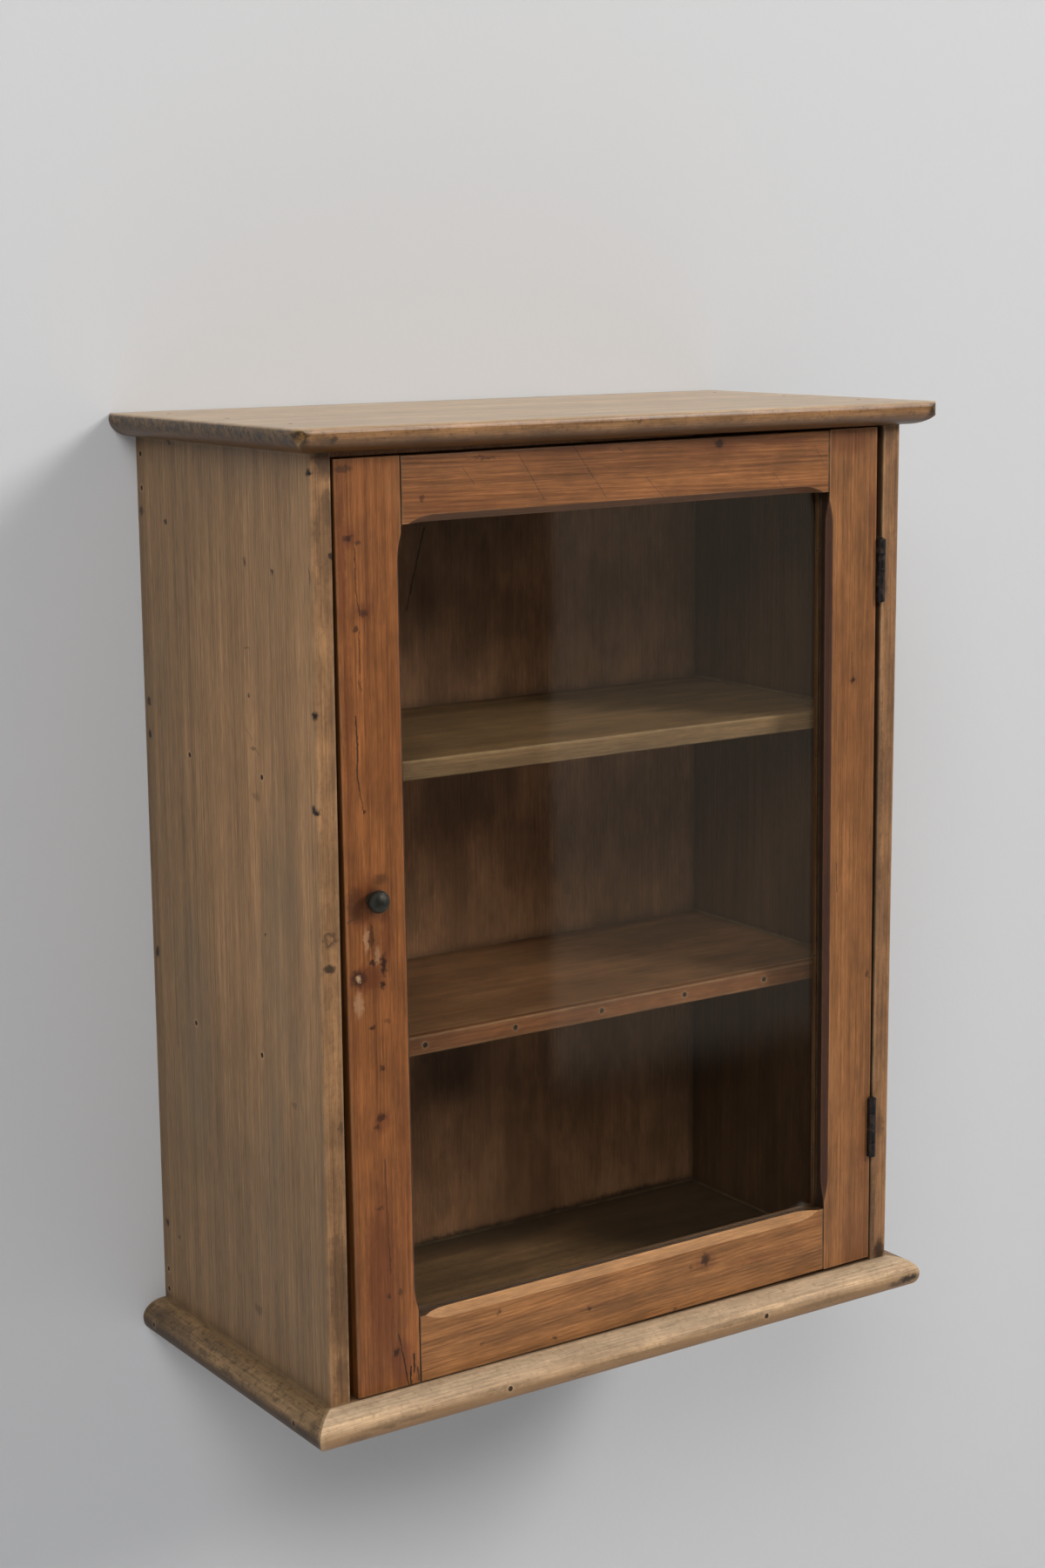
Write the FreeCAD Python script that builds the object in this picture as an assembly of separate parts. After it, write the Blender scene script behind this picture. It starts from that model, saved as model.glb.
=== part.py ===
import FreeCAD, Part
import math
import os

from FreeCAD import Vector

# Wall-hung pine cabinet with one glazed door, two shelves and a turn catch.
# Millimetres, +Z up. The front faces -Y and the wall lies at the largest Y.
# The origin is the middle of the underside.

# Case
case_width = 534.0
case_depth = 266.0
side_height = 690.0
side_thickness = 17.0
side_arris = 1.5

# Top board, with a small round above the nose and a long sweep below it
top_thickness = 18.0
top_overhang = 22.0
top_round_depth = 2.5
top_round_height = 4.0
top_sweep_depth = 19.5
top_corner_radius = 9.0

# Bottom board and the moulding mitred round it
base_thickness = 24.0
moulding_projection = 20.5
moulding_flat = 1.5
moulding_nose_height = 10.5
moulding_lower_round = 7.0

# Back panel in its rebates, and the battens behind it
back_thickness = 8.0
back_recess = 14.0
back_rebate_width = 8.0
hanging_batten_height = 52.0
lower_batten_height = 34.0
batten_end_clearance = 0.4
wall_screw_spacing = 400.0
wall_screw_hole_radius = 2.5

# Shelves, with setbacks from the front edges
shelf_thickness = 15.0
shelf_housing_depth = 6.0
shelf_arris = 1.6
upper_shelf_setback = 38.0
lower_shelf_setback = 44.0
lipping_thickness = 8.0

# Door frame. It has dropped at the knob side, so each gap is the least one along its edge.
door_thickness = 20.0
door_recess = 0.6
door_hinge_gap = 0.49
door_free_gap = 2.1
door_head_gap = 1.4
door_foot_gap = 2.6
door_planed_gap = 1.0
door_sag_degrees = 0.42
door_arris = 1.2
left_stile_width = 53.0
right_stile_width = 49.0
top_rail_height = 48.0
bottom_rail_height = 52.5
tenon_length = 32.0
tenon_thickness = 7.0
tenon_shoulder = 9.0
mortise_spare = 1.0
left_joint_gap = 0.8
right_joint_gap = 0.4

# Stopped chamfers round the inside of the door frame
stile_chamfer_face = 3.8
stile_chamfer_depth = 4.8
rail_chamfer_face = 5.6
rail_chamfer_depth = 8.0
chamfer_stop_margin = 6.0
chamfer_stop_run = 22.0

# Glass, held in a rebate by beads
lip_thickness = 11.0
glass_rebate = 7.0
glass_thickness = 3.0
glass_clearance = 1.0
bead_thickness = 5.5
bead_arris = 2.0

# Butt hinges, with the distance of their middles from the ends of the sides
upper_hinge_drop = 114.0
lower_hinge_rise = 116.0
hinge_length = 50.0
hinge_leaf_width = 18.0
hinge_leaf_thickness = 2.0
hinge_leaf_proud = 0.4
hinge_barrel_radius = 3.2
hinge_axis_proud = 1.8
hinge_pin_radius = 1.6
hinge_pin_clearance = 0.05
hinge_pin_dome = 0.8
hinge_relief = 0.4
knuckle_count = 4
knuckle_gap = 0.3

# Countersunk hinge screws
screw_count = 3
screw_pitch = 17.0
screw_inset = 10.0
screw_length = 12.0
screw_radius = 1.4
screw_head_radius = 2.9
screw_head_depth = 1.5
screw_slot_width = 0.7
screw_slot_depth = 0.6
screw_clearance = 0.05

# Turn catch: knob in front, tongue behind, and a keeper on the left side
knob_from_side = 27.2
knob_height = 373.0
knob_neck_radius = 4.2
knob_neck_length = 0.8
knob_head_radius = 8.3
knob_head_back = 5.2
knob_head_front = 6.0
knob_bore_depth = 8.0
rose_radius = 5.7
rose_thickness = 2.0
rose_arris = 0.8
spindle_radius = 2.5
spindle_clearance = 0.05
spindle_end = 1.5
tongue_length = 24.0
tongue_width = 10.0
tongue_thickness = 3.0
tongue_gap = 0.5
spacer_radius = 4.5
nut_across_flats = 8.0
nut_sides = 6
nut_thickness = 3.5
catch_gap = 0.3
keeper_projection = 18.0
keeper_height = 32.0
keeper_thickness = 6.0
keeper_gap = 0.8
keeper_arris = 1.5

# Nails and glazing pins
nail_radius = 1.1
nail_head_radius = 2.0
nail_head_thickness = 1.0
nail_set = 0.6
nail_clearance = 0.05
top_nail_length = 44.0
bottom_nail_length = 48.0
moulding_nail_length = 40.0
moulding_nail_end = 19.0
side_nail_length = 36.0
back_nail_length = 20.0
lipping_nail_length = 22.0
lipping_nail_pitch = 81.0
lipping_nail_count = 5
lipping_nail_shift = 7.0
keeper_nail_length = 26.0
pin_radius = 0.6
pin_head_radius = 1.0
pin_head_thickness = 0.5
pin_length = 13.0

# Shelf tops, as shares of the height of the sides
upper_shelf_share = 0.6696
lower_shelf_share = 0.3652

# Places of the fixings, as shares of the lengths they run along
moulding_nail_share = 0.4625
board_nail_shares = (0.15, 0.5, 0.85)
shelf_nail_shares = (0.2, 0.75)
batten_nail_shares = (0.25, 0.75)
back_side_nail_shares = (0.12, 0.3, 0.5, 0.7, 0.88)
back_shelf_nail_shares = (-0.5, 0.0, 0.5)
keeper_nail_shares = (0.25, 0.75)
tall_bead_pin_shares = (0.08, 0.36, 0.64, 0.92)
wide_bead_pin_shares = (0.12, 0.5, 0.88)
middle_share = 0.5

# Extra length of a cutting tool past the face that it opens
overrun = 2.0
# Distance within which two corners count as the same place
same_place = 1e-6

# Planes and places that the pieces share
left = -1
right = 1
front_y = -(case_depth - top_overhang) / 2
rear_y = front_y + case_depth
half_width = case_width / 2
inner_x = half_width - side_thickness
floor_z = base_thickness
roof_z = floor_z + side_height
top_z = roof_z + top_thickness
panel_rear_y = rear_y - back_recess
panel_front_y = panel_rear_y - back_thickness
panel_half_width = inner_x + back_rebate_width
batten_half_width = panel_half_width - batten_end_clearance
batten_mid_y = (panel_rear_y + rear_y) / 2
hanging_batten_foot_z = roof_z - hanging_batten_height
wall_screw_z = roof_z - hanging_batten_height / 2

upper_shelf_top = side_height * upper_shelf_share
lower_shelf_top = side_height * lower_shelf_share

door_height = side_height - door_foot_gap - door_head_gap
door_lean = door_height / 2 * math.sin(math.radians(door_sag_degrees))
door_face_y = front_y + door_recess
door_back_y = door_face_y + door_thickness
door_right_x = inner_x - door_hinge_gap - door_lean
door_left_x = -inner_x + door_free_gap + door_lean
door_foot_z = floor_z + door_foot_gap
door_head_z = door_foot_z + door_height
sight_left_x = door_left_x + left_stile_width
sight_right_x = door_right_x - right_stile_width
sight_foot_z = door_foot_z + bottom_rail_height
sight_head_z = door_head_z - top_rail_height
lip_back_y = door_face_y + lip_thickness
glass_back_y = lip_back_y + glass_thickness
bead_back_y = glass_back_y + bead_thickness
sag_pivot = Vector(door_right_x, door_face_y, (door_foot_z + door_head_z) / 2)

upper_hinge_centre = side_height - upper_hinge_drop
hinge_x = inner_x - hinge_leaf_proud + hinge_leaf_thickness - hinge_barrel_radius
hinge_y = front_y - hinge_axis_proud
leaf_end_y = front_y + hinge_leaf_width

catch_x = -inner_x + knob_from_side
catch_z = floor_z + knob_height
knob_foot_y = door_face_y - rose_thickness - catch_gap
keeper_front_y = door_back_y + keeper_gap
keeper_back_y = keeper_front_y + keeper_thickness
tongue_front_y = keeper_back_y + tongue_gap
tongue_back_y = tongue_front_y + tongue_thickness
nut_back_y = tongue_back_y + nut_thickness

right_way = Vector(1, 0, 0)
left_way = Vector(-1, 0, 0)
wall_way = Vector(0, 1, 0)
front_way = Vector(0, -1, 0)
up = Vector(0, 0, 1)
down = Vector(0, 0, -1)


# Shape helpers

def block(x_span, y_span, z_span):
    """A box between two values on each axis, in either order."""
    low = Vector(min(x_span), min(y_span), min(z_span))
    high = Vector(max(x_span), max(y_span), max(z_span))
    size = high - low
    return Part.makeBox(size.x, size.y, size.z, low)


def rod(radius, start, way, length):
    return Part.makeCylinder(radius, length, start, way)


def line(start, end):
    return Part.LineSegment(start, end).toShape()


def quarter(start, corner, end):
    """A quarter of an ellipse from start to end, inside the given corner."""
    curve = Part.BezierCurve()
    curve.setPoles([start, corner, end])
    curve.setWeight(2, math.sqrt(0.5))
    return curve.toShape()


def swept(edges, way):
    """The closed outline of the edges, pushed along a vector."""
    return Part.Face(Part.Wire(edges)).extrude(way)


def prism(points, way):
    return Part.Face(Part.makePolygon(points + points[:1])).extrude(way)


def edges_at(shape, **place):
    """The edges that lie wholly at the given coordinates."""
    def lies(edge):
        corners = [vertex.Point for vertex in edge.Vertexes]
        return all(abs(getattr(corner, axis) - value) < same_place
                   for corner in corners for axis, value in place.items())
    return [edge for edge in shape.Edges if lies(edge)]


def eased(shape, radius, *places):
    """The shape with a small round along the edges at each place."""
    edges = [edge for place in places for edge in edges_at(shape, **place)]
    return shape.makeFillet(radius, edges)


def without(shape, tools):
    """The shape with every tool cut from it."""
    return shape.cut(Part.makeCompound(tools))


def share(span, part):
    """The place at a share of the way along a span."""
    return span[0] + (span[1] - span[0]) * part


def save(name, *solids):
    shape = solids[0] if len(solids) == 1 else Part.makeCompound(list(solids))
    shape.exportStep("parts/" + name + ".step")


# Nails and screws: each has its solid and the hole that it fills

def nail(place, way, length):
    """A round nail with its head set just below the surface at place."""
    seat = place + way * nail_set
    head = rod(nail_head_radius, seat, way, nail_head_thickness)
    return head.fuse(rod(nail_radius, seat, way, length))


def nail_hole(place, way, length):
    mouth = place - way * overrun
    mouth_depth = overrun + nail_set + nail_head_thickness + nail_clearance
    wide = rod(nail_head_radius + nail_clearance, mouth, way, mouth_depth)
    return wide.fuse(rod(nail_radius + nail_clearance, place, way, nail_set + length + nail_clearance))


def nails(drives):
    return [nail(*drive) for drive in drives]


def nail_holes(drives):
    return [nail_hole(*drive) for drive in drives]


def glazing_pin(place, way):
    head = rod(pin_head_radius, place, way, pin_head_thickness)
    return head.fuse(rod(pin_radius, place, way, pin_length))


def glazing_pin_hole(place, way):
    depth = pin_head_thickness + nail_clearance
    wide = rod(pin_head_radius + nail_clearance, place - way * overrun, way, overrun + depth)
    return wide.fuse(rod(pin_radius + nail_clearance, place, way, pin_length + nail_clearance))


def screw_body(place, way, spare):
    """A countersunk head and its shank, with spare added to each radius and to the length."""
    head = Part.makeCone(screw_head_radius + spare, screw_radius + spare, screw_head_depth, place, way)
    return head.fuse(rod(screw_radius + spare, place, way, screw_length + spare))


def screw(place, way):
    slot = block((place.x - screw_slot_depth, place.x + screw_slot_depth),
                 (place.y - screw_slot_width / 2, place.y + screw_slot_width / 2),
                 (place.z - screw_head_radius, place.z + screw_head_radius))
    return screw_body(place, way, 0).cut(slot)


# Case boards

def side_board(side, tools):
    """One upright board: shelves, nails and hinges leave their seats in it."""
    outer_x = side * half_width
    face_x = side * inner_x
    board = block((face_x, outer_x), (front_y, rear_y), (floor_z, roof_z))
    board = eased(board, side_arris, dict(x=outer_x, y=front_y), dict(x=face_x, y=front_y))
    rebate = block((face_x - side * overrun, face_x + side * back_rebate_width),
                   (panel_front_y, rear_y + overrun), (floor_z - overrun, roof_z + overrun))
    return without(board, [rebate] + tools)


def top_board(tools):
    """The board over the sides, moulded on its front and both ends."""
    nose_y = front_y - top_overhang
    nose_x = half_width + top_overhang
    nose_z = top_z - top_round_height

    def front_at(inset, z):
        return Vector(-nose_x, nose_y + inset, z)

    def end_at(side, inset, z):
        return Vector(side * (nose_x - inset), nose_y, z)

    front_edges = [
        line(Vector(-nose_x, rear_y, roof_z), Vector(-nose_x, rear_y, top_z)),
        line(Vector(-nose_x, rear_y, top_z), front_at(top_round_depth, top_z)),
        quarter(front_at(top_round_depth, top_z), front_at(0, top_z), front_at(0, nose_z)),
        quarter(front_at(0, nose_z), front_at(0, roof_z), front_at(top_sweep_depth, roof_z)),
        line(front_at(top_sweep_depth, roof_z), Vector(-nose_x, rear_y, roof_z)),
    ]
    end_edges = [line(end_at(left, top_round_depth, top_z), end_at(right, top_round_depth, top_z))]
    end_edges.append(line(end_at(left, top_sweep_depth, roof_z), end_at(right, top_sweep_depth, roof_z)))
    for side in (left, right):
        nose = end_at(side, 0, nose_z)
        end_edges.append(quarter(end_at(side, top_round_depth, top_z), end_at(side, 0, top_z), nose))
        end_edges.append(quarter(nose, end_at(side, 0, roof_z), end_at(side, top_sweep_depth, roof_z)))
    front_form = swept(front_edges, right_way * (2 * nose_x))
    end_form = swept(Part.__sortEdges__(end_edges), wall_way * (rear_y - nose_y))
    plan = block((-nose_x, nose_x), (nose_y, rear_y), (roof_z, top_z))
    plan = eased(plan, top_corner_radius, dict(x=-nose_x, y=nose_y), dict(x=nose_x, y=nose_y))
    return without(front_form.common(end_form).common(plan), tools)


def moulding_edges(at):
    """The half-round section: at gives the point for a reach and a height."""
    nose = at(moulding_projection, moulding_nose_height)
    upper = at(moulding_flat, base_thickness)
    lower = at(moulding_projection - moulding_lower_round, 0)
    return [
        line(at(0, 0), at(0, base_thickness)),
        line(at(0, base_thickness), upper),
        quarter(upper, at(moulding_projection, base_thickness), nose),
        quarter(nose, at(moulding_projection, 0), lower),
        line(lower, at(0, 0)),
    ]


def front_moulding(tools):
    reach_x = half_width + moulding_projection
    reach_y = front_y - moulding_projection
    strip = swept(moulding_edges(lambda reach, z: Vector(-reach_x, front_y - reach, z)),
                  right_way * (2 * reach_x))
    plan = prism([Vector(-half_width, front_y, 0), Vector(half_width, front_y, 0),
                  Vector(reach_x, reach_y, 0), Vector(-reach_x, reach_y, 0)], up * base_thickness)
    return without(strip.common(plan), tools)


def side_moulding(side, tools):
    edge_x = side * half_width
    reach_x = side * (half_width + moulding_projection)
    reach_y = front_y - moulding_projection
    strip = swept(moulding_edges(lambda reach, z: Vector(edge_x + side * reach, reach_y, z)),
                  wall_way * (rear_y - reach_y))
    plan = prism([Vector(edge_x, rear_y, 0), Vector(edge_x, front_y, 0),
                  Vector(reach_x, reach_y, 0), Vector(reach_x, rear_y, 0)], up * base_thickness)
    return without(strip.common(plan), tools)


def shelf_span(top_height):
    return (floor_z + top_height - shelf_thickness, floor_z + top_height)


def upper_shelf():
    edge_y = front_y + upper_shelf_setback
    low, high = shelf_span(upper_shelf_top)
    reach_x = inner_x + shelf_housing_depth
    board = block((-reach_x, reach_x), (edge_y, panel_front_y), (low, high))
    return eased(board, shelf_arris, dict(y=edge_y, z=low), dict(y=edge_y, z=high))


def lower_shelf():
    reach_x = inner_x + shelf_housing_depth
    edge_y = front_y + lower_shelf_setback + lipping_thickness
    return block((-reach_x, reach_x), (edge_y, panel_front_y), shelf_span(lower_shelf_top))


def shelf_lipping():
    edge_y = front_y + lower_shelf_setback
    low, high = shelf_span(lower_shelf_top)
    strip = block((-inner_x, inner_x), (edge_y, edge_y + lipping_thickness), (low, high))
    return eased(strip, shelf_arris, dict(y=edge_y, z=low), dict(y=edge_y, z=high))


def keeper_block():
    """The stop behind the left stile, which the tongue turns behind."""
    edge_x = -inner_x + keeper_projection
    low = catch_z - keeper_height / 2
    high = catch_z + keeper_height / 2
    body = block((-inner_x, edge_x), (keeper_front_y, keeper_back_y), (low, high))
    return eased(body, keeper_arris, dict(x=edge_x, z=low), dict(x=edge_x, z=high))


# Door, made square and then dropped by its sag

def hung(shape):
    """The shape turned by the door's sag about the middle of its hinge edge."""
    turned = shape.copy()
    turned.rotate(sag_pivot, front_way, door_sag_degrees)
    return turned


def glass_pocket():
    return block((sight_left_x - glass_rebate, sight_right_x + glass_rebate),
                 (lip_back_y, door_back_y + overrun),
                 (sight_foot_z - glass_rebate, sight_head_z + glass_rebate))


def chamfer_tool(middle, along, inward, sight_length, face, depth):
    """A scoop that takes off the front arris between two curved stops.

    along runs down the arris and inward points from the opening into the wood.
    face is the chamfer's width on the front and depth its width in the opening.
    """
    slope = math.hypot(face, depth)
    bite = face * depth / slope
    normal = (inward * depth + wall_way * face) * (1 / slope)
    across = normal.cross(along)
    half_length = sight_length / 2 - chamfer_stop_margin
    half_flat = half_length - chamfer_stop_run
    sweep = (chamfer_stop_run ** 2 + bite ** 2) / (2 * bite)
    turn = math.asin(chamfer_stop_run / sweep) / 2

    def at(distance, sunk):
        return middle + along * distance + normal * sunk - across * slope

    def stop(way):
        bend = at(way * (half_flat + sweep * math.sin(turn)), bite - sweep * (1 - math.cos(turn)))
        return Part.Arc(at(way * half_flat, bite), bend, at(way * half_length, 0)).toShape()

    edges = [
        line(at(-half_flat, bite), at(half_flat, bite)),
        stop(1),
        line(at(half_length, 0), at(half_length, -overrun)),
        line(at(half_length, -overrun), at(-half_length, -overrun)),
        line(at(-half_length, -overrun), at(-half_length, 0)),
        stop(-1),
    ]
    return swept(Part.__sortEdges__(edges), across * (2 * slope))


def rail_spans():
    """The low and high Z of the bottom rail and of the top rail."""
    return ((door_foot_z, sight_foot_z), (sight_head_z, door_head_z))


def tenon(sight_x, side, z_span, spare):
    mid_y = (door_face_y + door_back_y) / 2
    return block((sight_x, sight_x + side * (tenon_length + spare)),
                 (mid_y - tenon_thickness / 2, mid_y + tenon_thickness / 2),
                 (z_span[0] + tenon_shoulder, z_span[1] - tenon_shoulder))


def stile(side, tools):
    edge_x, sight_x = (door_left_x, sight_left_x) if side == left else (door_right_x, sight_right_x)
    middle = Vector(sight_x, door_face_y, (sight_foot_z + sight_head_z) / 2)
    body = block((edge_x, sight_x), (door_face_y, door_back_y), (door_foot_z, door_head_z))
    body = eased(body, door_arris, dict(x=edge_x, y=door_face_y), dict(x=edge_x, y=door_back_y))
    mortises = [tenon(sight_x, side, z_span, mortise_spare) for z_span in rail_spans()]
    chamfer = chamfer_tool(middle, up, right_way * side, sight_head_z - sight_foot_z,
                           stile_chamfer_face, stile_chamfer_depth)
    return without(hung(without(body, mortises + [glass_pocket(), chamfer])), tools)


def rail(z_span, inward, tools):
    """A rail between the stiles: inward points from the opening into its wood."""
    sight_z = z_span[1] if inward.z < 0 else z_span[0]
    edge_z = z_span[0] if inward.z < 0 else z_span[1]
    middle = Vector((sight_left_x + sight_right_x) / 2, door_face_y, sight_z)
    body = block((sight_left_x + left_joint_gap, sight_right_x - right_joint_gap),
                 (door_face_y, door_back_y), z_span)
    body = eased(body, door_arris, dict(y=door_face_y, z=edge_z))
    chamfer = chamfer_tool(middle, right_way, inward, sight_right_x - sight_left_x,
                           rail_chamfer_face, rail_chamfer_depth)
    body = without(body, [glass_pocket(), chamfer])
    for sight_x, side, gap in ((sight_left_x, left, left_joint_gap), (sight_right_x, right, right_joint_gap)):
        body = body.fuse(tenon(sight_x - side * gap, side, z_span, gap))
    return without(hung(body), tools)


def glass_pane():
    reach = glass_rebate - glass_clearance
    return hung(block((sight_left_x - reach, sight_right_x + reach), (lip_back_y, glass_back_y),
                      (sight_foot_z - reach, sight_head_z + reach)))


def glazing_beads(tools):
    """Four strips mitred round the glass, level with the sight edges."""
    inner = [(sight_left_x, sight_foot_z), (sight_right_x, sight_foot_z),
             (sight_right_x, sight_head_z), (sight_left_x, sight_head_z)]
    ways = [(-1, -1), (1, -1), (1, 1), (-1, 1)]
    outer = [(x + glass_rebate * way_x, z + glass_rebate * way_z)
             for (x, z), (way_x, way_z) in zip(inner, ways)]
    beads = []
    for index in range(len(inner)):
        following = (index + 1) % len(inner)
        corners = [inner[index], inner[following], outer[following], outer[index]]
        strip = prism([Vector(x, glass_back_y, z) for x, z in corners], wall_way * bead_thickness)
        start, end = inner[index], inner[following]
        arris = dict(y=bead_back_y, z=start[1]) if start[1] == end[1] else dict(y=bead_back_y, x=start[0])
        beads.append(without(hung(eased(strip, bead_arris, arris)), tools))
    return beads


def glazing_pin_places():
    """The point and direction of every pin, through a bead into the frame."""
    mid_y = (glass_back_y + bead_back_y) / 2 - bead_arris / 2
    height = (sight_foot_z, sight_head_z)
    width = (sight_left_x, sight_right_x)
    places = []
    for part in tall_bead_pin_shares:
        places.append((Vector(sight_left_x, mid_y, share(height, part)), left_way))
        places.append((Vector(sight_right_x, mid_y, share(height, part)), right_way))
    for part in wide_bead_pin_shares:
        places.append((Vector(share(width, part), mid_y, sight_foot_z), down))
        places.append((Vector(share(width, part), mid_y, sight_head_z), up))
    return places


# Hinges

def hinge_span(centre):
    return (floor_z + centre - hinge_length / 2, floor_z + centre + hinge_length / 2)


def hinge_screw_places(centre, side):
    """Where the screws of one leaf start, on the leaf's face towards the gap."""
    face_x = hinge_x + side * (hinge_barrel_radius - hinge_leaf_thickness)
    first = floor_z + centre - screw_pitch * (screw_count - 1) / 2
    return [Vector(face_x, front_y + screw_inset, first + screw_pitch * index) for index in range(screw_count)]


def hinge_leaf(centre, side):
    """One leaf with every other knuckle: side is right on the case and left on the door."""
    low, high = hinge_span(centre)
    pitch = hinge_length / knuckle_count
    back_x = hinge_x + side * hinge_barrel_radius
    face_x = back_x - side * hinge_leaf_thickness
    sweep = hinge_barrel_radius + knuckle_gap
    foot = Vector(hinge_x, hinge_y, low)
    body = block((face_x, back_x), (hinge_y, leaf_end_y), (low, high)).cut(rod(sweep, foot, up, hinge_length))
    first = 0 if side == right else 1
    for index in range(first, knuckle_count, 2):
        start = low + index * pitch + knuckle_gap / 2
        end = low + (index + 1) * pitch - knuckle_gap / 2
        knuckle = rod(hinge_barrel_radius, Vector(hinge_x, hinge_y, start), up, end - start)
        web = block((face_x, back_x), (hinge_y, hinge_y + sweep + knuckle_gap), (start, end))
        body = body.fuse(knuckle).fuse(web)
    way = right_way * side
    bore = rod(hinge_pin_radius + hinge_pin_clearance, foot, up, hinge_length)
    holes = [screw_body(place, way, screw_clearance) for place in hinge_screw_places(centre, side)]
    return without(body, [bore] + holes).removeSplitter()


def hinge_pin(centre):
    """A plain pin with a domed end above and below the barrel."""
    low, high = hinge_span(centre)

    def at(radius, z):
        return Vector(hinge_x + radius, hinge_y, z)

    edges = [
        line(at(0, low - hinge_pin_dome), at(0, high + hinge_pin_dome)),
        quarter(at(0, high + hinge_pin_dome), at(hinge_pin_radius, high + hinge_pin_dome),
                at(hinge_pin_radius, high)),
        line(at(hinge_pin_radius, high), at(hinge_pin_radius, low)),
        quarter(at(hinge_pin_radius, low), at(hinge_pin_radius, low - hinge_pin_dome),
                at(0, low - hinge_pin_dome)),
    ]
    return Part.Face(Part.Wire(edges)).revolve(Vector(hinge_x, hinge_y, 0), up, 360)


def hinge_seats(centre, side):
    """What one leaf, the barrel and the screws take from the wood on that side."""
    low, high = hinge_span(centre)
    back_x = hinge_x + side * hinge_barrel_radius
    open_x = inner_x - overrun if side == right else inner_x
    seat = block((open_x, back_x), (front_y - overrun, leaf_end_y), (low, high))
    barrel = rod(hinge_barrel_radius + hinge_relief, Vector(hinge_x, hinge_y, low - hinge_relief), up,
                 high - low + 2 * hinge_relief)
    holes = [screw_body(place, right_way * side, screw_clearance) for place in hinge_screw_places(centre, side)]
    return [seat, barrel] + holes


# Turn catch

def spindle_hole(start_y, end_y):
    start = Vector(catch_x, start_y, catch_z)
    return rod(spindle_radius + spindle_clearance, start, wall_way, end_y - start_y)


def knob_rose():
    start = Vector(catch_x, door_face_y, catch_z)
    face_y = door_face_y - rose_thickness
    disc = eased(rod(rose_radius, start, front_way, rose_thickness), rose_arris, dict(y=face_y))
    return disc.cut(spindle_hole(face_y - overrun, door_face_y + overrun))


def knob():
    """A turned knob with a flattened ball head, on the spindle."""
    def at(radius, reach):
        return Vector(catch_x + radius, knob_foot_y - reach, catch_z)

    widest = knob_neck_length + knob_head_back
    tip = widest + knob_head_front
    edges = [
        line(at(0, 0), at(knob_neck_radius, 0)),
        line(at(knob_neck_radius, 0), at(knob_neck_radius, knob_neck_length)),
        quarter(at(knob_neck_radius, knob_neck_length), at(knob_head_radius, knob_neck_length),
                at(knob_head_radius, widest)),
        quarter(at(knob_head_radius, widest), at(knob_head_radius, tip), at(0, tip)),
        line(at(0, tip), at(0, 0)),
    ]
    turned = Part.Face(Part.Wire(edges)).revolve(Vector(catch_x, 0, catch_z), wall_way, 360)
    return turned.cut(spindle_hole(knob_foot_y - knob_bore_depth, knob_foot_y + overrun))


def knob_spindle():
    start = Vector(catch_x, knob_foot_y - knob_bore_depth, catch_z)
    return rod(spindle_radius, start, wall_way, nut_back_y + spindle_end - start.y)


def latch_spacer():
    """The sleeve that holds the tongue clear of the keeper."""
    start = Vector(catch_x, door_back_y + catch_gap, catch_z)
    sleeve = rod(spacer_radius, start, wall_way, tongue_front_y - start.y)
    return sleeve.cut(spindle_hole(door_back_y - overrun, tongue_front_y + overrun))


def latch_tongue():
    """A flat bar with round ends, hanging free at rest."""
    radius = tongue_width / 2
    tip_z = catch_z - tongue_length + radius
    bar = block((catch_x - radius, catch_x + radius), (tongue_front_y, tongue_back_y), (tip_z, catch_z))
    for end_z in (tip_z, catch_z):
        bar = bar.fuse(rod(radius, Vector(catch_x, tongue_front_y, end_z), wall_way, tongue_thickness))
    return bar.removeSplitter().cut(spindle_hole(tongue_front_y - overrun, tongue_back_y + overrun))


def latch_nut():
    radius = nut_across_flats / 2 / math.cos(math.pi / nut_sides)
    corners = [2 * math.pi * index / nut_sides for index in range(nut_sides)]
    points = [Vector(catch_x + radius * math.cos(turn), tongue_back_y, catch_z + radius * math.sin(turn))
              for turn in corners]
    nut = prism(points, wall_way * nut_thickness)
    return nut.cut(spindle_hole(tongue_back_y - overrun, nut_back_y + overrun))


# Where every nail goes: its place on the surface, its direction and its length

depth_span = (front_y, rear_y)
side_mid_x = half_width - side_thickness / 2
top_drives = [(Vector(side * side_mid_x, share(depth_span, part), top_z), down, top_nail_length)
              for side in (left, right) for part in board_nail_shares]
bottom_drives = [(Vector(side * side_mid_x, share(depth_span, part), 0), up, bottom_nail_length)
                 for side in (left, right) for part in board_nail_shares]

moulding_nose_y = front_y - moulding_projection
front_moulding_drives = [(Vector(side * half_width * moulding_nail_share, moulding_nose_y, moulding_nose_height),
                          wall_way, moulding_nail_length)
                         for side in (left, right)]
side_moulding_drives = {
    side: [(Vector(side * (half_width + moulding_projection), place_y, moulding_nose_height),
            right_way * -side, moulding_nail_length)
           for place_y in (front_y + moulding_nail_end, rear_y - moulding_nail_end)]
    for side in (left, right)
}
moulding_drives = front_moulding_drives + side_moulding_drives[left] + side_moulding_drives[right]


def side_nail_places():
    """Y and Z of the nails that hold the shelves and battens through one side."""
    places = []
    for top_height, setback in ((upper_shelf_top, upper_shelf_setback),
                                (lower_shelf_top, lower_shelf_setback + lipping_thickness)):
        for part in shelf_nail_shares:
            places.append((share((front_y + setback, panel_front_y), part),
                           share(shelf_span(top_height), middle_share)))
    for part in batten_nail_shares:
        places.append((batten_mid_y, share((hanging_batten_foot_z, roof_z), part)))
        places.append((batten_mid_y, share((floor_z, floor_z + lower_batten_height), part)))
    return places


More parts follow.
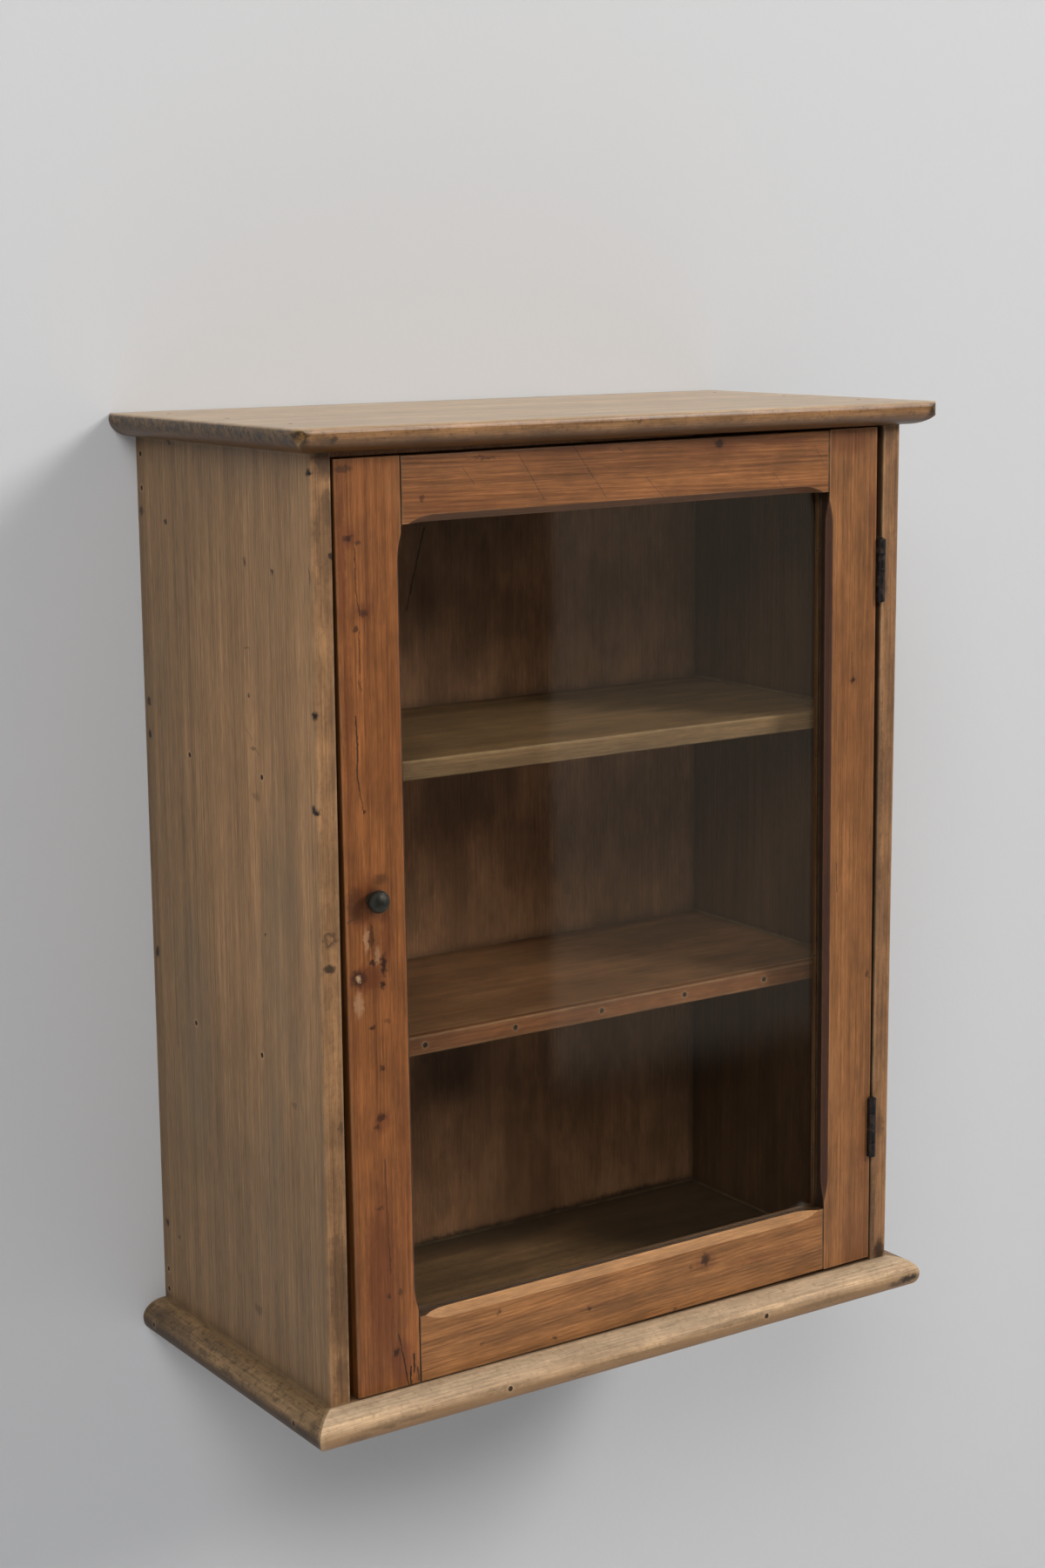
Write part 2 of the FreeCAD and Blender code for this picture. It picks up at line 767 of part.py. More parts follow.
side_drives = {
    side: [(Vector(side * half_width, y, z), right_way * -side, side_nail_length)
           for y, z in side_nail_places()]
    for side in (left, right)
}
both_side_drives = side_drives[left] + side_drives[right]

back_nail_x = inner_x + back_rebate_width / 2
back_side_drives = [(Vector(side * back_nail_x, panel_rear_y, share((floor_z, roof_z), part)),
                     front_way, back_nail_length)
                    for side in (left, right) for part in back_side_nail_shares]
back_shelf_drives = [(Vector(inner_x * part, panel_rear_y, share(shelf_span(top_height), middle_share)),
                      front_way, back_nail_length)
                     for top_height in (upper_shelf_top, lower_shelf_top) for part in back_shelf_nail_shares]
back_drives = back_side_drives + back_shelf_drives

lipping_first_x = lipping_nail_shift - lipping_nail_pitch * (lipping_nail_count - 1) / 2
lipping_drives = [(Vector(lipping_first_x + lipping_nail_pitch * index, front_y + lower_shelf_setback,
                          share(shelf_span(lower_shelf_top), middle_share)), wall_way, lipping_nail_length)
                  for index in range(lipping_nail_count)]

keeper_span = (catch_z - keeper_height / 2, catch_z + keeper_height / 2)
keeper_drives = [(Vector(-inner_x + keeper_projection, (keeper_front_y + keeper_back_y) / 2,
                         share(keeper_span, part)), left_way, keeper_nail_length)
                 for part in keeper_nail_shares]


# Build the pieces

os.makedirs("parts", exist_ok=True)

hinges = {"upper": upper_hinge_centre, "lower": lower_hinge_rise}
case_seats = [tool for centre in hinges.values() for tool in hinge_seats(centre, right)]
door_seats = [tool for centre in hinges.values() for tool in hinge_seats(centre, left)]

# Case boards and shelves
shelf_housings = [upper_shelf(), lower_shelf()]
upright_nails = nail_holes(top_drives + bottom_drives + both_side_drives + back_side_drives)
save("left_side", side_board(left, shelf_housings + upright_nails + nail_holes(keeper_drives)))
save("right_side", side_board(right, shelf_housings + upright_nails + case_seats))
save("top_board", top_board(nail_holes(top_drives)))
bottom_board = block((-half_width, half_width), depth_span, (0, base_thickness))
save("bottom_board", without(bottom_board, nail_holes(bottom_drives + moulding_drives)))
save("front_moulding", front_moulding(nail_holes(front_moulding_drives)))
save("left_moulding", side_moulding(left, nail_holes(side_moulding_drives[left])))
save("right_moulding", side_moulding(right, nail_holes(side_moulding_drives[right])))
save("upper_shelf", without(upper_shelf(), nail_holes(both_side_drives + back_shelf_drives)))
save("lower_shelf", without(lower_shelf(), nail_holes(both_side_drives + back_shelf_drives + lipping_drives)))
save("shelf_lipping", without(shelf_lipping(), nail_holes(lipping_drives)))
save("keeper_block", without(keeper_block(), nail_holes(keeper_drives)))

# Back, and the holes that hang the case on a wall
wall_screw_holes = [rod(wall_screw_hole_radius, Vector(side * wall_screw_spacing / 2, panel_front_y - overrun,
                                                       wall_screw_z), wall_way,
                        back_thickness + back_recess + 2 * overrun) for side in (left, right)]
back_panel = block((-panel_half_width, panel_half_width), (panel_front_y, panel_rear_y), (floor_z, roof_z))
save("back_panel", without(back_panel, nail_holes(back_drives) + wall_screw_holes))
hanging_batten = block((-batten_half_width, batten_half_width), (panel_rear_y, rear_y),
                       (hanging_batten_foot_z, roof_z))
save("hanging_batten", without(hanging_batten, nail_holes(both_side_drives) + wall_screw_holes))
lower_batten = block((-batten_half_width, batten_half_width), (panel_rear_y, rear_y),
                     (floor_z, floor_z + lower_batten_height))
save("lower_batten", without(lower_batten, nail_holes(both_side_drives)))

# Nails of the case
save("top_nails", *nails(top_drives))
save("bottom_nails", *nails(bottom_drives))
save("moulding_nails", *nails(moulding_drives))
save("side_nails", *nails(both_side_drives))
save("back_nails", *nails(back_drives))
save("lipping_nails", *nails(lipping_drives))
save("keeper_nails", *nails(keeper_drives))

# Door
floor_plane = block((-half_width, half_width), (front_y - overrun, door_back_y + overrun),
                    (0, floor_z + door_planed_gap))
pin_places = glazing_pin_places()
pin_holes = [hung(glazing_pin_hole(*place)) for place in pin_places]
catch_hole = spindle_hole(door_face_y - overrun, door_back_y + overrun)
bottom_span, top_span = rail_spans()
save("left_stile", stile(left, pin_holes + [floor_plane, catch_hole]))
save("right_stile", stile(right, pin_holes + [floor_plane] + door_seats))
save("bottom_rail", rail(bottom_span, down, pin_holes + [floor_plane]))
save("top_rail", rail(top_span, up, pin_holes))
save("glass_pane", glass_pane())
bead_names = ("bottom", "right", "top", "left")
for bead_name, bead in zip(bead_names, glazing_beads(pin_holes)):
    save("glazing_bead_" + bead_name, bead)
save("glazing_pins", *[hung(glazing_pin(*place)) for place in pin_places])

# Hinges
for hinge_name, centre in hinges.items():
    save(hinge_name + "_hinge_case_leaf", hinge_leaf(centre, right))
    save(hinge_name + "_hinge_door_leaf", hinge_leaf(centre, left))
    save(hinge_name + "_hinge_pin", hinge_pin(centre))
save("hinge_case_screws", *[screw(place, right_way) for centre in hinges.values()
                            for place in hinge_screw_places(centre, right)])
save("hinge_door_screws", *[screw(place, left_way) for centre in hinges.values()
                            for place in hinge_screw_places(centre, left)])

# Turn catch
save("knob_rose", knob_rose())
save("knob", knob())
save("knob_spindle", knob_spindle())
save("latch_spacer", latch_spacer())
save("latch_tongue", latch_tongue())
save("latch_nut", latch_nut())
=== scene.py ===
import math

import bpy
from mathutils import Matrix, Vector


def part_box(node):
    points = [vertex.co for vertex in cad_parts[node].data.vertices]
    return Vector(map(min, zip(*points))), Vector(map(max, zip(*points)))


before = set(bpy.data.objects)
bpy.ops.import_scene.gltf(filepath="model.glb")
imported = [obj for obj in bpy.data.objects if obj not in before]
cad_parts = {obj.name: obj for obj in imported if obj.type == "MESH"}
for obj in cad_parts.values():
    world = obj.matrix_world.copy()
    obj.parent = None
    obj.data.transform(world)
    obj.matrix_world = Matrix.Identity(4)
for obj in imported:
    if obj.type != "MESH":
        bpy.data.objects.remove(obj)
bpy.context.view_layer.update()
scene = bpy.context.scene
scene.view_settings.view_transform = "Standard"


# Node helpers

def srgb(*levels):
    """A colour given as display levels from 0 to 255, as linear RGBA."""
    shares = [level / 255 for level in levels]
    linear = [c / 12.92 if c < 0.04 else ((c + 0.055) / 1.055) ** 2.4 for c in shares]
    return (*linear, 1.0)


class Net:
    """Adds nodes to a tree. A socket that is given as a value is linked, and anything else is set."""

    def __init__(self, tree):
        self.tree = tree

    def put(self, socket, value):
        if isinstance(value, bpy.types.NodeSocket):
            self.tree.links.new(value, socket)
        else:
            socket.default_value = value

    def node(self, kind, values=(), **settings):
        node = self.tree.nodes.new(kind)
        for name, setting in settings.items():
            setattr(node, name, setting)
        pairs = values.items() if isinstance(values, dict) else enumerate(values)
        for key, value in pairs:
            self.put(node.inputs[key], value)
        return node

    def math(self, operation, *values, clamp=False):
        return self.node("ShaderNodeMath", values, operation=operation, use_clamp=clamp).outputs[0]

    def vector(self, operation, *values):
        node = self.node("ShaderNodeVectorMath", operation=operation)
        for socket, value in zip(node.inputs, values):
            self.put(socket, value)
        return node.outputs["Value" if operation in ("LENGTH", "DOT_PRODUCT") else "Vector"]

    def scaled(self, vector, factor):
        node = self.node("ShaderNodeVectorMath", {"Vector": vector, "Scale": factor}, operation="SCALE")
        return node.outputs["Vector"]

    def noise(self, vector, scale, detail=2.0, roughness=0.5, output="Fac"):
        stretched = self.vector("MULTIPLY", vector, scale)
        node = self.node("ShaderNodeTexNoise", {"Vector": stretched, "Scale": 1.0, "Detail": detail,
                                                "Roughness": roughness})
        return node.outputs[output]

    def step(self, value, start, end, low=0.0, high=1.0):
        """A smooth rise from low at start to high at end."""
        node = self.node("ShaderNodeMapRange", (value, start, end, low, high),
                         interpolation_type="SMOOTHSTEP")
        return node.outputs[0]

    def mix(self, factor, a, b):
        node = self.node("ShaderNodeMix", data_type="RGBA")
        for index, value in ((0, factor), (6, a), (7, b)):
            self.put(node.inputs[index], value)
        return node.outputs[2]

    def most(self, *values):
        result = values[0]
        for value in values[1:]:
            result = self.math("MAXIMUM", result, value)
        return result

    def times(self, *values):
        result = values[0]
        for value in values[1:]:
            result = self.math("MULTIPLY", result, value)
        return result

    def group(self, tree, **values):
        node = self.node("ShaderNodeGroup", node_tree=tree)
        for name, value in values.items():
            self.put(node.inputs[name], value)
        return node.outputs

    def place(self):
        return self.node("ShaderNodeTexCoord").outputs["Object"]

    def axes(self, vector):
        return self.node("ShaderNodeSeparateXYZ", (vector,)).outputs

    def joined(self, x, y, z):
        return self.node("ShaderNodeCombineXYZ", (x, y, z)).outputs[0]


def new_group(name, inputs, outputs):
    tree = bpy.data.node_groups.new(name, "ShaderNodeTree")
    for label, kind in inputs:
        tree.interface.new_socket(label, in_out="INPUT", socket_type="NodeSocket" + kind)
    for label in outputs:
        tree.interface.new_socket(label, in_out="OUTPUT", socket_type="NodeSocketFloat")
    net = Net(tree)
    return net, net.node("NodeGroupInput").outputs, net.node("NodeGroupOutput").inputs


def figure_group():
    """The figure of a sawn pine board whose first axis is across, second through and third along it."""
    net, given, made = new_group(
        "pine_figure", [("Board", "Vector"), ("Pith", "Vector"), ("Lean", "Vector"), ("Rings", "Float")],
        ["Late", "Fibre", "Fine", "Band", "Smudge", "Cloud"])
    board = given["Board"]
    along = net.axes(board)[2]
    slow = net.noise(board, (5.0, 5.0, 0.9), 2.0, 0.5, "Color")
    quick = net.noise(board, (50.0, 50.0, 3.0), 2.0, 0.5, "Color")
    bend = net.vector("MULTIPLY_ADD", slow, (0.030, 0.030, 0.0), (-0.015, -0.015, 0.0))
    shake = net.vector("MULTIPLY_ADD", quick, (0.0022, 0.0022, 0.0), (-0.0011, -0.0011, 0.0))
    lean = net.scaled(given["Lean"], along)
    centre = net.vector("ADD", net.vector("SUBTRACT", board, given["Pith"]), lean)
    centre = net.vector("ADD", centre, net.vector("ADD", bend, shake))
    reach = net.vector("LENGTH", net.vector("MULTIPLY", centre, (1.0, 1.0, 0.0)))
    phase = net.math("MULTIPLY", reach, given["Rings"])
    ring = net.math("FRACT", phase)
    year = net.math("FLOOR", phase)
    chance = net.node("ShaderNodeTexWhiteNoise", {"W": year}, noise_dimensions="1D").outputs[0]
    strength = net.step(chance, 0.0, 1.0, 0.15, 1.0)
    net.put(made["Late"], net.times(net.step(ring, 0.25, 0.88), net.step(ring, 1.0, 0.92), strength))
    net.put(made["Fibre"], net.noise(board, (620.0, 620.0, 8.0), 4.0, 0.62))
    net.put(made["Fine"], net.noise(board, (2400.0, 2400.0, 70.0), 2.0))
    net.put(made["Band"], net.noise(board, (85.0, 85.0, 1.3), 3.0, 0.55))
    net.put(made["Smudge"], net.noise(board, (46.0, 46.0, 20.0), 5.0, 0.65))
    net.put(made["Cloud"], net.noise(board, (13.0, 13.0, 3.4), 4.0, 0.6))
    return net.tree


def spot_group():
    """A soft-edged ellipse around a centre, laid over the marks before it."""
    net, given, made = new_group(
        "spot", [("Before", "Float"), ("Place", "Vector"), ("Centre", "Vector"), ("Size", "Vector"),
                 ("Strength", "Float")], ["Marks"])
    offset = net.vector("DIVIDE", net.vector("SUBTRACT", given["Place"], given["Centre"]), given["Size"])
    inside = net.step(net.vector("LENGTH", offset), 1.0, 0.35)
    net.put(made["Marks"], net.most(given["Before"], net.times(inside, given["Strength"])))
    return net.tree


def crack_group():
    """A thin soft line between two points, laid over the marks before it."""
    net, given, made = new_group(
        "crack", [("Before", "Float"), ("Place", "Vector"), ("Start", "Vector"), ("End", "Vector"),
                  ("Width", "Float"), ("Strength", "Float")], ["Marks"])
    run = net.vector("SUBTRACT", given["End"], given["Start"])
    offset = net.vector("SUBTRACT", given["Place"], given["Start"])
    reach = net.vector("DOT_PRODUCT", offset, run)
    share = net.math("DIVIDE", reach, net.vector("DOT_PRODUCT", run, run), clamp=True)
    away = net.vector("LENGTH", net.vector("SUBTRACT", offset, net.scaled(run, share)))
    inside = net.step(net.math("DIVIDE", away, given["Width"]), 1.0, 0.2)
    net.put(made["Marks"], net.most(given["Before"], net.times(inside, given["Strength"])))
    return net.tree


FIGURE = figure_group()
SPOT = spot_group()
CRACK = crack_group()
AXIS = {"x": 0, "y": 1, "z": 2}
SPOT_DEPTH = 0.005
FINE_SHARE = 0.20
GLOSS_SPREAD = 0.14
BUMP_STRENGTH = 0.35
BUMP_DEPTH = 0.0006


def on_face(point, axis, depth):
    """A point with the two given axes in millimetres, and the axis across them in metres."""
    made = [c / 1000 for c in point]
    made.insert(AXIS[axis], depth)
    return made


class Wood:
    """One board's material. axes names the row axes across, through and along the board."""

    def __init__(self, name, axes, seed, pith, lean=(0.0, 0.0), rings=300.0):
        self.material = bpy.data.materials.new(name)
        self.material.use_nodes = True
        self.net = net = Net(self.material.node_tree)
        self.shader = net.tree.nodes["Principled BSDF"]
        coordinates = net.node("ShaderNodeTexCoord").outputs
        self.place = coordinates["Object"]
        self.normal = coordinates["Normal"]
        parts = net.axes(self.place)
        self.x, self.y, self.z = parts
        shift = Vector((0.31, 0.17, 0.73)) * seed
        board = net.joined(*[parts[AXIS[letter]] for letter in axes])
        board = net.vector("ADD", board, shift)
        pith = Vector((*pith, 0.0)) + shift
        self.figure = net.group(FIGURE, Board=board, Pith=pith, Lean=(*lean, 0.0), Rings=rings)
        wobble = net.noise(self.place, (240.0, 240.0, 240.0), 3.0, 0.6, "Color")
        self.wobble = net.vector("MULTIPLY_ADD", wobble, (0.008,) * 3, (-0.004,) * 3)
        self.height = net.math("MULTIPLY", self.figure["Fibre"], 0.7)

    def grain(self, early, late, rings, fibre, band=0.14, smudge=0.16):
        """The clean colour: rings, then fibres, bands and smudges that lighten and darken it."""
        colour = self.net.mix(self.net.times(self.figure["Late"], rings), early, late)
        return self.shaded(colour, fibre, band, smudge)

    def shaded(self, colour, fibre=0.2, band=0.14, smudge=0.16):
        net = self.net
        shade = net.times(net.step(self.figure["Fibre"], 0.25, 0.75, 1.0 - fibre, 1.0 + fibre * 0.7),
                          net.step(self.figure["Band"], 0.25, 0.75, 1.0 - band, 1.0 + band * 0.7),
                          net.step(self.figure["Smudge"], 0.30, 0.70, 1.0 - smudge, 1.0 + smudge * 0.7),
                          net.step(self.figure["Fine"], 0.3, 0.7, 1.0 - FINE_SHARE, 1.0 + FINE_SHARE))
        colour = colour if isinstance(colour, bpy.types.NodeSocket) else colour[:3]
        return net.vector("MULTIPLY", colour, net.joined(shade, shade, shade))

    def cloud(self, colour, stain, start, end, amount):
        """Broad stains along the board."""
        return self.net.mix(self.net.step(self.figure["Cloud"], start, end, 0.0, amount), colour, stain)

    def ragged(self, axis, share=1.0):
        """The place, shaken along the face that lies across the axis."""
        mask = [0.0 if letter == axis else share for letter in "xyz"]
        return self.net.vector("ADD", self.place, self.net.vector("MULTIPLY", self.wobble, mask))

    def spots(self, axis, face, rows, depth=SPOT_DEPTH):
        """Marks on one face from rows of centre, size and strength, or None for no rows."""
        if not rows:
            return None
        marks = 0.0
        place = self.ragged(axis)
        for centre, size, strength in rows:
            centre = on_face(centre, axis, face)
            size = on_face(size, axis, depth)
            marks = self.net.group(SPOT, Before=marks, Place=place, Centre=centre, Size=size,
                                   Strength=strength)[0]
        return marks

    def cracks(self, axis, face, rows):
        """Marks on one face from rows of start, end, width and strength, or None for no rows."""
        if not rows:
            return None
        marks = 0.0
        place = self.ragged(axis, 0.35)
        for start, end, width, strength in rows:
            start = on_face(start, axis, face)
            end = on_face(end, axis, face)
            marks = self.net.group(CRACK, Before=marks, Place=place, Start=start, End=end,
                                   Width=width / 1000, Strength=strength)[0]
        return marks

    def marked(self, colour, marks, stain):
        """The colour with a stain over it where there are marks."""
        return colour if marks is None else self.net.mix(marks, colour, stain)

    def dirt_and_shade(self, colour, stain, reach, amount):
        """Darkens the corners and the gaps between boards: painted shade there, together with soiling."""
        corner_shade = self.net.node("ShaderNodeAmbientOcclusion", {"Distance": reach}, samples=3).outputs["AO"]
        return self.net.mix(self.net.step(corner_shade, 0.80, 0.30, 0.0, amount), colour, stain)

    def specked(self, colour, stain, amount, start=0.50):
        """Old soiling in small specks, which cover more with a lower start."""
        specks = self.net.noise(self.place, (230.0, 230.0, 230.0), 5.0, 0.7)
        return self.net.mix(self.net.step(specks, start, start + 0.16, 0.0, amount), colour, stain)

    def worn(self, colour, pale, reach, amount):
        """Lightens the arrises, unevenly."""
        net = self.net
        edge = net.node("ShaderNodeAmbientOcclusion", {"Distance": reach}, samples=3, inside=True,
                        only_local=True).outputs["AO"]
        patchy = net.step(net.noise(self.place, (60.0, 60.0, 60.0), 3.0, 0.6), 0.3, 0.7, 0.35, 1.0)
        return net.mix(net.times(net.step(edge, 0.92, 0.55), patchy, amount), colour, pale)

    def sink(self, marks, depth=1.0):
        if marks is not None:
            self.height = self.net.math("SUBTRACT", self.height, self.net.times(marks, depth))

    def finish(self, colour, roughness, specular=0.35):
        net = self.net
        net.put(self.shader.inputs["Base Color"], colour)
        spread = net.times(self.figure["Fibre"], GLOSS_SPREAD)
        rough = net.math("ADD", spread, roughness - GLOSS_SPREAD / 2)
        net.put(self.shader.inputs["Roughness"], rough)
        self.shader.inputs["Specular IOR Level"].default_value = specular
        bump = net.node("ShaderNodeBump", {"Strength": BUMP_STRENGTH, "Distance": BUMP_DEPTH,
                                           "Height": self.height})
        net.put(self.shader.inputs["Normal"], bump.outputs[0])
        return self.material


def dress(material, *nodes):
    for node in nodes:
        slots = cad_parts[node].data.materials
        slots.clear()
        slots.append(material)


BLACK_SPOT = srgb(26, 19, 14)
CASE_FACE = -0.122
DOOR_FACE = -0.1214
SIDE_FACE = 0.267
SIDE_INSIDE = 0.250
PANEL_FACE = 0.122
TOP_FRONT = -0.1435
TOP_LEFT = -0.2885
TOP_FACE = 0.732
BASE_FRONT = -0.142
BASE_SIDE = 0.286
FLOOR_FACE = 0.024
LEFT_EDGE = srgb(154, 113, 74)
RIGHT_EDGE = srgb(142, 101, 66)

# Case sides

LEFT_SIDE_SPOTS = [
    ((88, 712), (4.0, 2.6), 0.8), ((98, 652), (3.2, 2.3), 0.85), ((-120, 701), (4.0, 3.2), 1.0),
    ((-66, 629), (2.8, 2.6), 0.9), ((-120, 533), (4.4, 4.2), 1.0), ((-119, 466), (4.4, 4.2), 1.0),
    ((-119, 630), (1.8, 6.0), 0.6), ((-25, 632), (2.4, 3.8), 0.6), ((-27, 536), (2.4, 2.8), 0.8),
    ((-26, 570), (5.3, 1.6), 0.4), ((-31, 498), (6.0, 2.2), 0.5), ((-33, 463), (9.0, 4.5), 0.35),
    ((138, 658), (4.0, 5.3), 0.7), ((137, 511), (4.0, 4.4), 0.8), ((137, 486), (4.0, 5.2), 0.9),
    ((137, 312), (4.4, 5.7), 0.9), ((-42, 361), (2.4, 2.2), 0.7), ((136, 89), (4.0, 4.6), 0.95),
    ((116, 83), (2.8, 2.4), 0.8), ((-79, 242), (6.5, 3.3), 0.3), ((-15, 65), (8.4, 5.7), 0.35),
]
LEFT_SIDE_CRACKS = [
    ((-20, 511), (-30, 504), 0.5, 0.4), ((-30, 500), (-40, 494), 0.5, 0.5),
    ((-43, 419), (-50, 412), 0.5, 0.5), ((-22, 635), (-27, 629), 0.5, 0.5),
]
LEFT_EDGE_SPOTS = [
    ((-252, 643), (3.2, 3.6), 1.0), ((-260, 352), (6.0, 4.6), 0.9), ((-253, 234), (2.9, 6.5), 0.5),
    ((-260, 150), (7.9, 7.9), 0.45), ((-257, 46), (9.0, 24.0), 0.5), ((-255, 708), (11.0, 18.0), 0.75),
    ((-254, 675), (7.0, 22.0), 0.6), ((-257, 655), (12.0, 45.0), 0.5), ((-257, 110), (12.0, 70.0), 0.45),
]
RIGHT_EDGE_SPOTS = [
    ((260, 29), (7.8, 17.0), 0.9), ((258, 140), (5.8, 16.0), 0.5), ((253, 587), (4.6, 10.0), 0.4),
    ((255, 704), (9.0, 20.0), 0.5), ((250, 60), (6.0, 60.0), 0.5), ((251, 400), (5.0, 160.0), 0.45),
    ((262, 500), (5.0, 60.0), 0.3),
]
# Broad zones of the sides' outer faces, painted paler as light, brightest mid-front
SIDE_LIT_ZONES = [((-70, 440), (190, 330), 1.0), ((-60, 620), (120, 120), 0.5)]
RIGHT_SIDE_SPOTS = [((60, 610), (2.6, 3.0), 0.9), ((-40, 330), (3.0, 3.0), 0.8)]
RING_CENTRE = (-259, 373)
RING_OUTER = (7.8, 7.8)
RING_INNER = (5.0, 5.0)


def side_wood(name, side, seed):
    wood = Wood(name, "yxz", seed, (-0.34, side * 0.25), (0.01, 0.0), 260.0)
    net = wood.net
    outer_x = side * SIDE_FACE
    outer = wood.grain(srgb(137, 107, 75), srgb(114, 86, 58), 0.3, 0.30, 0.18, 0.10)
    # A paler copy of the outer face over those zones: painted light
    pale = wood.grain(srgb(162, 123, 84), srgb(135, 99, 66), 0.3, 0.30, 0.20, 0.10)
    outer = net.mix(wood.spots("x", outer_x, SIDE_LIT_ZONES), outer, pale)
    outer = wood.cloud(outer, srgb(114, 98, 76), 0.48, 0.72, 0.5)
    edge = wood.grain(LEFT_EDGE if side < 0 else RIGHT_EDGE, srgb(112, 79, 51), 0.3, 0.32, 0.24, 0.34)
    edge = wood.cloud(edge, srgb(100, 72, 48), 0.46, 0.74, 0.6)
    edge = wood.specked(edge, srgb(92, 64, 42), 0.3)
    inner = wood.grain(srgb(96, 66, 44), srgb(70, 45, 28), 0.25, 0.26)
    inner = wood.cloud(inner, srgb(54, 37, 25), 0.4, 0.75, 0.6)
    colour = net.mix(net.step(wood.y, CASE_FACE + 0.0025, CASE_FACE + 0.0008), outer, edge)
    outward = net.math("MULTIPLY", wood.x, side)
    inside = net.step(outward, SIDE_INSIDE + 0.0008, SIDE_INSIDE + 0.0002)
    colour = net.mix(inside, colour, inner)
    if side < 0:
        marks = net.most(wood.spots("x", outer_x, LEFT_SIDE_SPOTS),
                         wood.cracks("x", outer_x, LEFT_SIDE_CRACKS))
        outer_disc = wood.spots("y", CASE_FACE, [(RING_CENTRE, RING_OUTER, 1.0)])
        inner_disc = wood.spots("y", CASE_FACE, [(RING_CENTRE, RING_INNER, 1.0)])
        ring = net.math("SUBTRACT", outer_disc, inner_disc, clamp=True)
        stains = net.most(wood.spots("y", CASE_FACE, LEFT_EDGE_SPOTS), ring)
    else:
        marks = wood.spots("x", outer_x, RIGHT_SIDE_SPOTS)
        stains = wood.spots("y", CASE_FACE, RIGHT_EDGE_SPOTS)
    colour = wood.worn(colour, srgb(200, 165, 124), 0.0026, 0.65)
    colour = net.mix(stains, colour, srgb(50, 35, 23))
    colour = net.mix(marks, colour, BLACK_SPOT)
    wood.sink(marks)
    # Painted shade and soiling in the corners and gaps
    colour = wood.dirt_and_shade(colour, srgb(38, 27, 18), 0.012, 0.8)
    return wood.finish(colour, 0.56)


dress(side_wood("pine_left_side", -1, 1), "left_side")
dress(side_wood("pine_right_side", 1, 2), "right_side")


# Top, bottom and base moulding

TOP_FRONT_SPOTS = [
    ((-260, 723), (4.5, 5.0), 0.8), ((-268, 724), (12.0, 5.0), 0.5), ((-4, 727), (3.1, 2.5), 0.5),
    ((-77, 726), (8.0, 2.5), 0.3),
]
TOP_LEFT_SPOTS = [
    ((115, 725), (15, 3.2), 0.6), ((-133, 724), (12.0, 4.6), 0.5), ((-95, 726), (15, 3.0), 0.4),
    ((-32, 725), (13.0, 2.4), 0.4), ((36, 725), (11.0, 2.5), 0.4),
]
FRONT_MOULDING_SPOTS = [
    ((276, 8), (16.0, 4.6), 0.9), ((262, 6), (12.0, 3.8), 0.6), ((-230, 8), (9.0, 2.5), 0.4),
    ((-60, 6), (14.0, 2.0), 0.3), ((-222, 10), (48.0, 3.2), 0.3), ((-255, 5), (16.0, 4.0), 0.3),
    ((-130, 12), (44.0, 2.4), 0.22), ((-10, 10), (60.0, 2.4), 0.2), ((90, 13), (50.0, 2.6), 0.2),
    ((185, 9), (46.0, 3.0), 0.25),
]
LEFT_MOULDING_SPOTS = [
    ((-93, 9), (30.0, 6.0), 0.45), ((82, 20), (21.0, 6.0), 0.55), ((118, 20), (16.0, 7.0), 0.6),
    ((2, 13), (17.0, 3.6), 0.5), ((41, 15), (12.0, 2.9), 0.5), ((-46, 6), (14.0, 3.5), 0.5),
    ((-116, 8), (16.0, 5.5), 0.5), ((105, 16), (64.0, 14.0), 0.5), ((30, 23), (60.0, 5.0), 0.5),
    ((-50, 24), (60.0, 3.5), 0.4), ((-130, 15), (9.0, 11.0), 0.4),
]
RIGHT_MOULDING_SPOTS = [((60, 12), (20.0, 4.0), 0.5), ((-80, 9), (16.0, 3.0), 0.5)]
FLOOR_GRIME = [
    ((190, 70), (170, 130), 0.75), ((235, 0), (80, 150), 0.75), ((50, 116), (210, 44), 0.75),
    ((-60, 60), (90, 60), 0.25),
]
ROUND_DEPTH = 0.020
# The moulding's upper edge is painted paler as light and its lower edge darker as shade, between these
# heights
LIT_MOULDING = srgb(216, 190, 158)
SHADED_HEIGHTS = (0.0165, 0.0070)
LIT_HEIGHTS = (0.0160, 0.0225)
TOP_END_REACH = (0.274, 0.282)


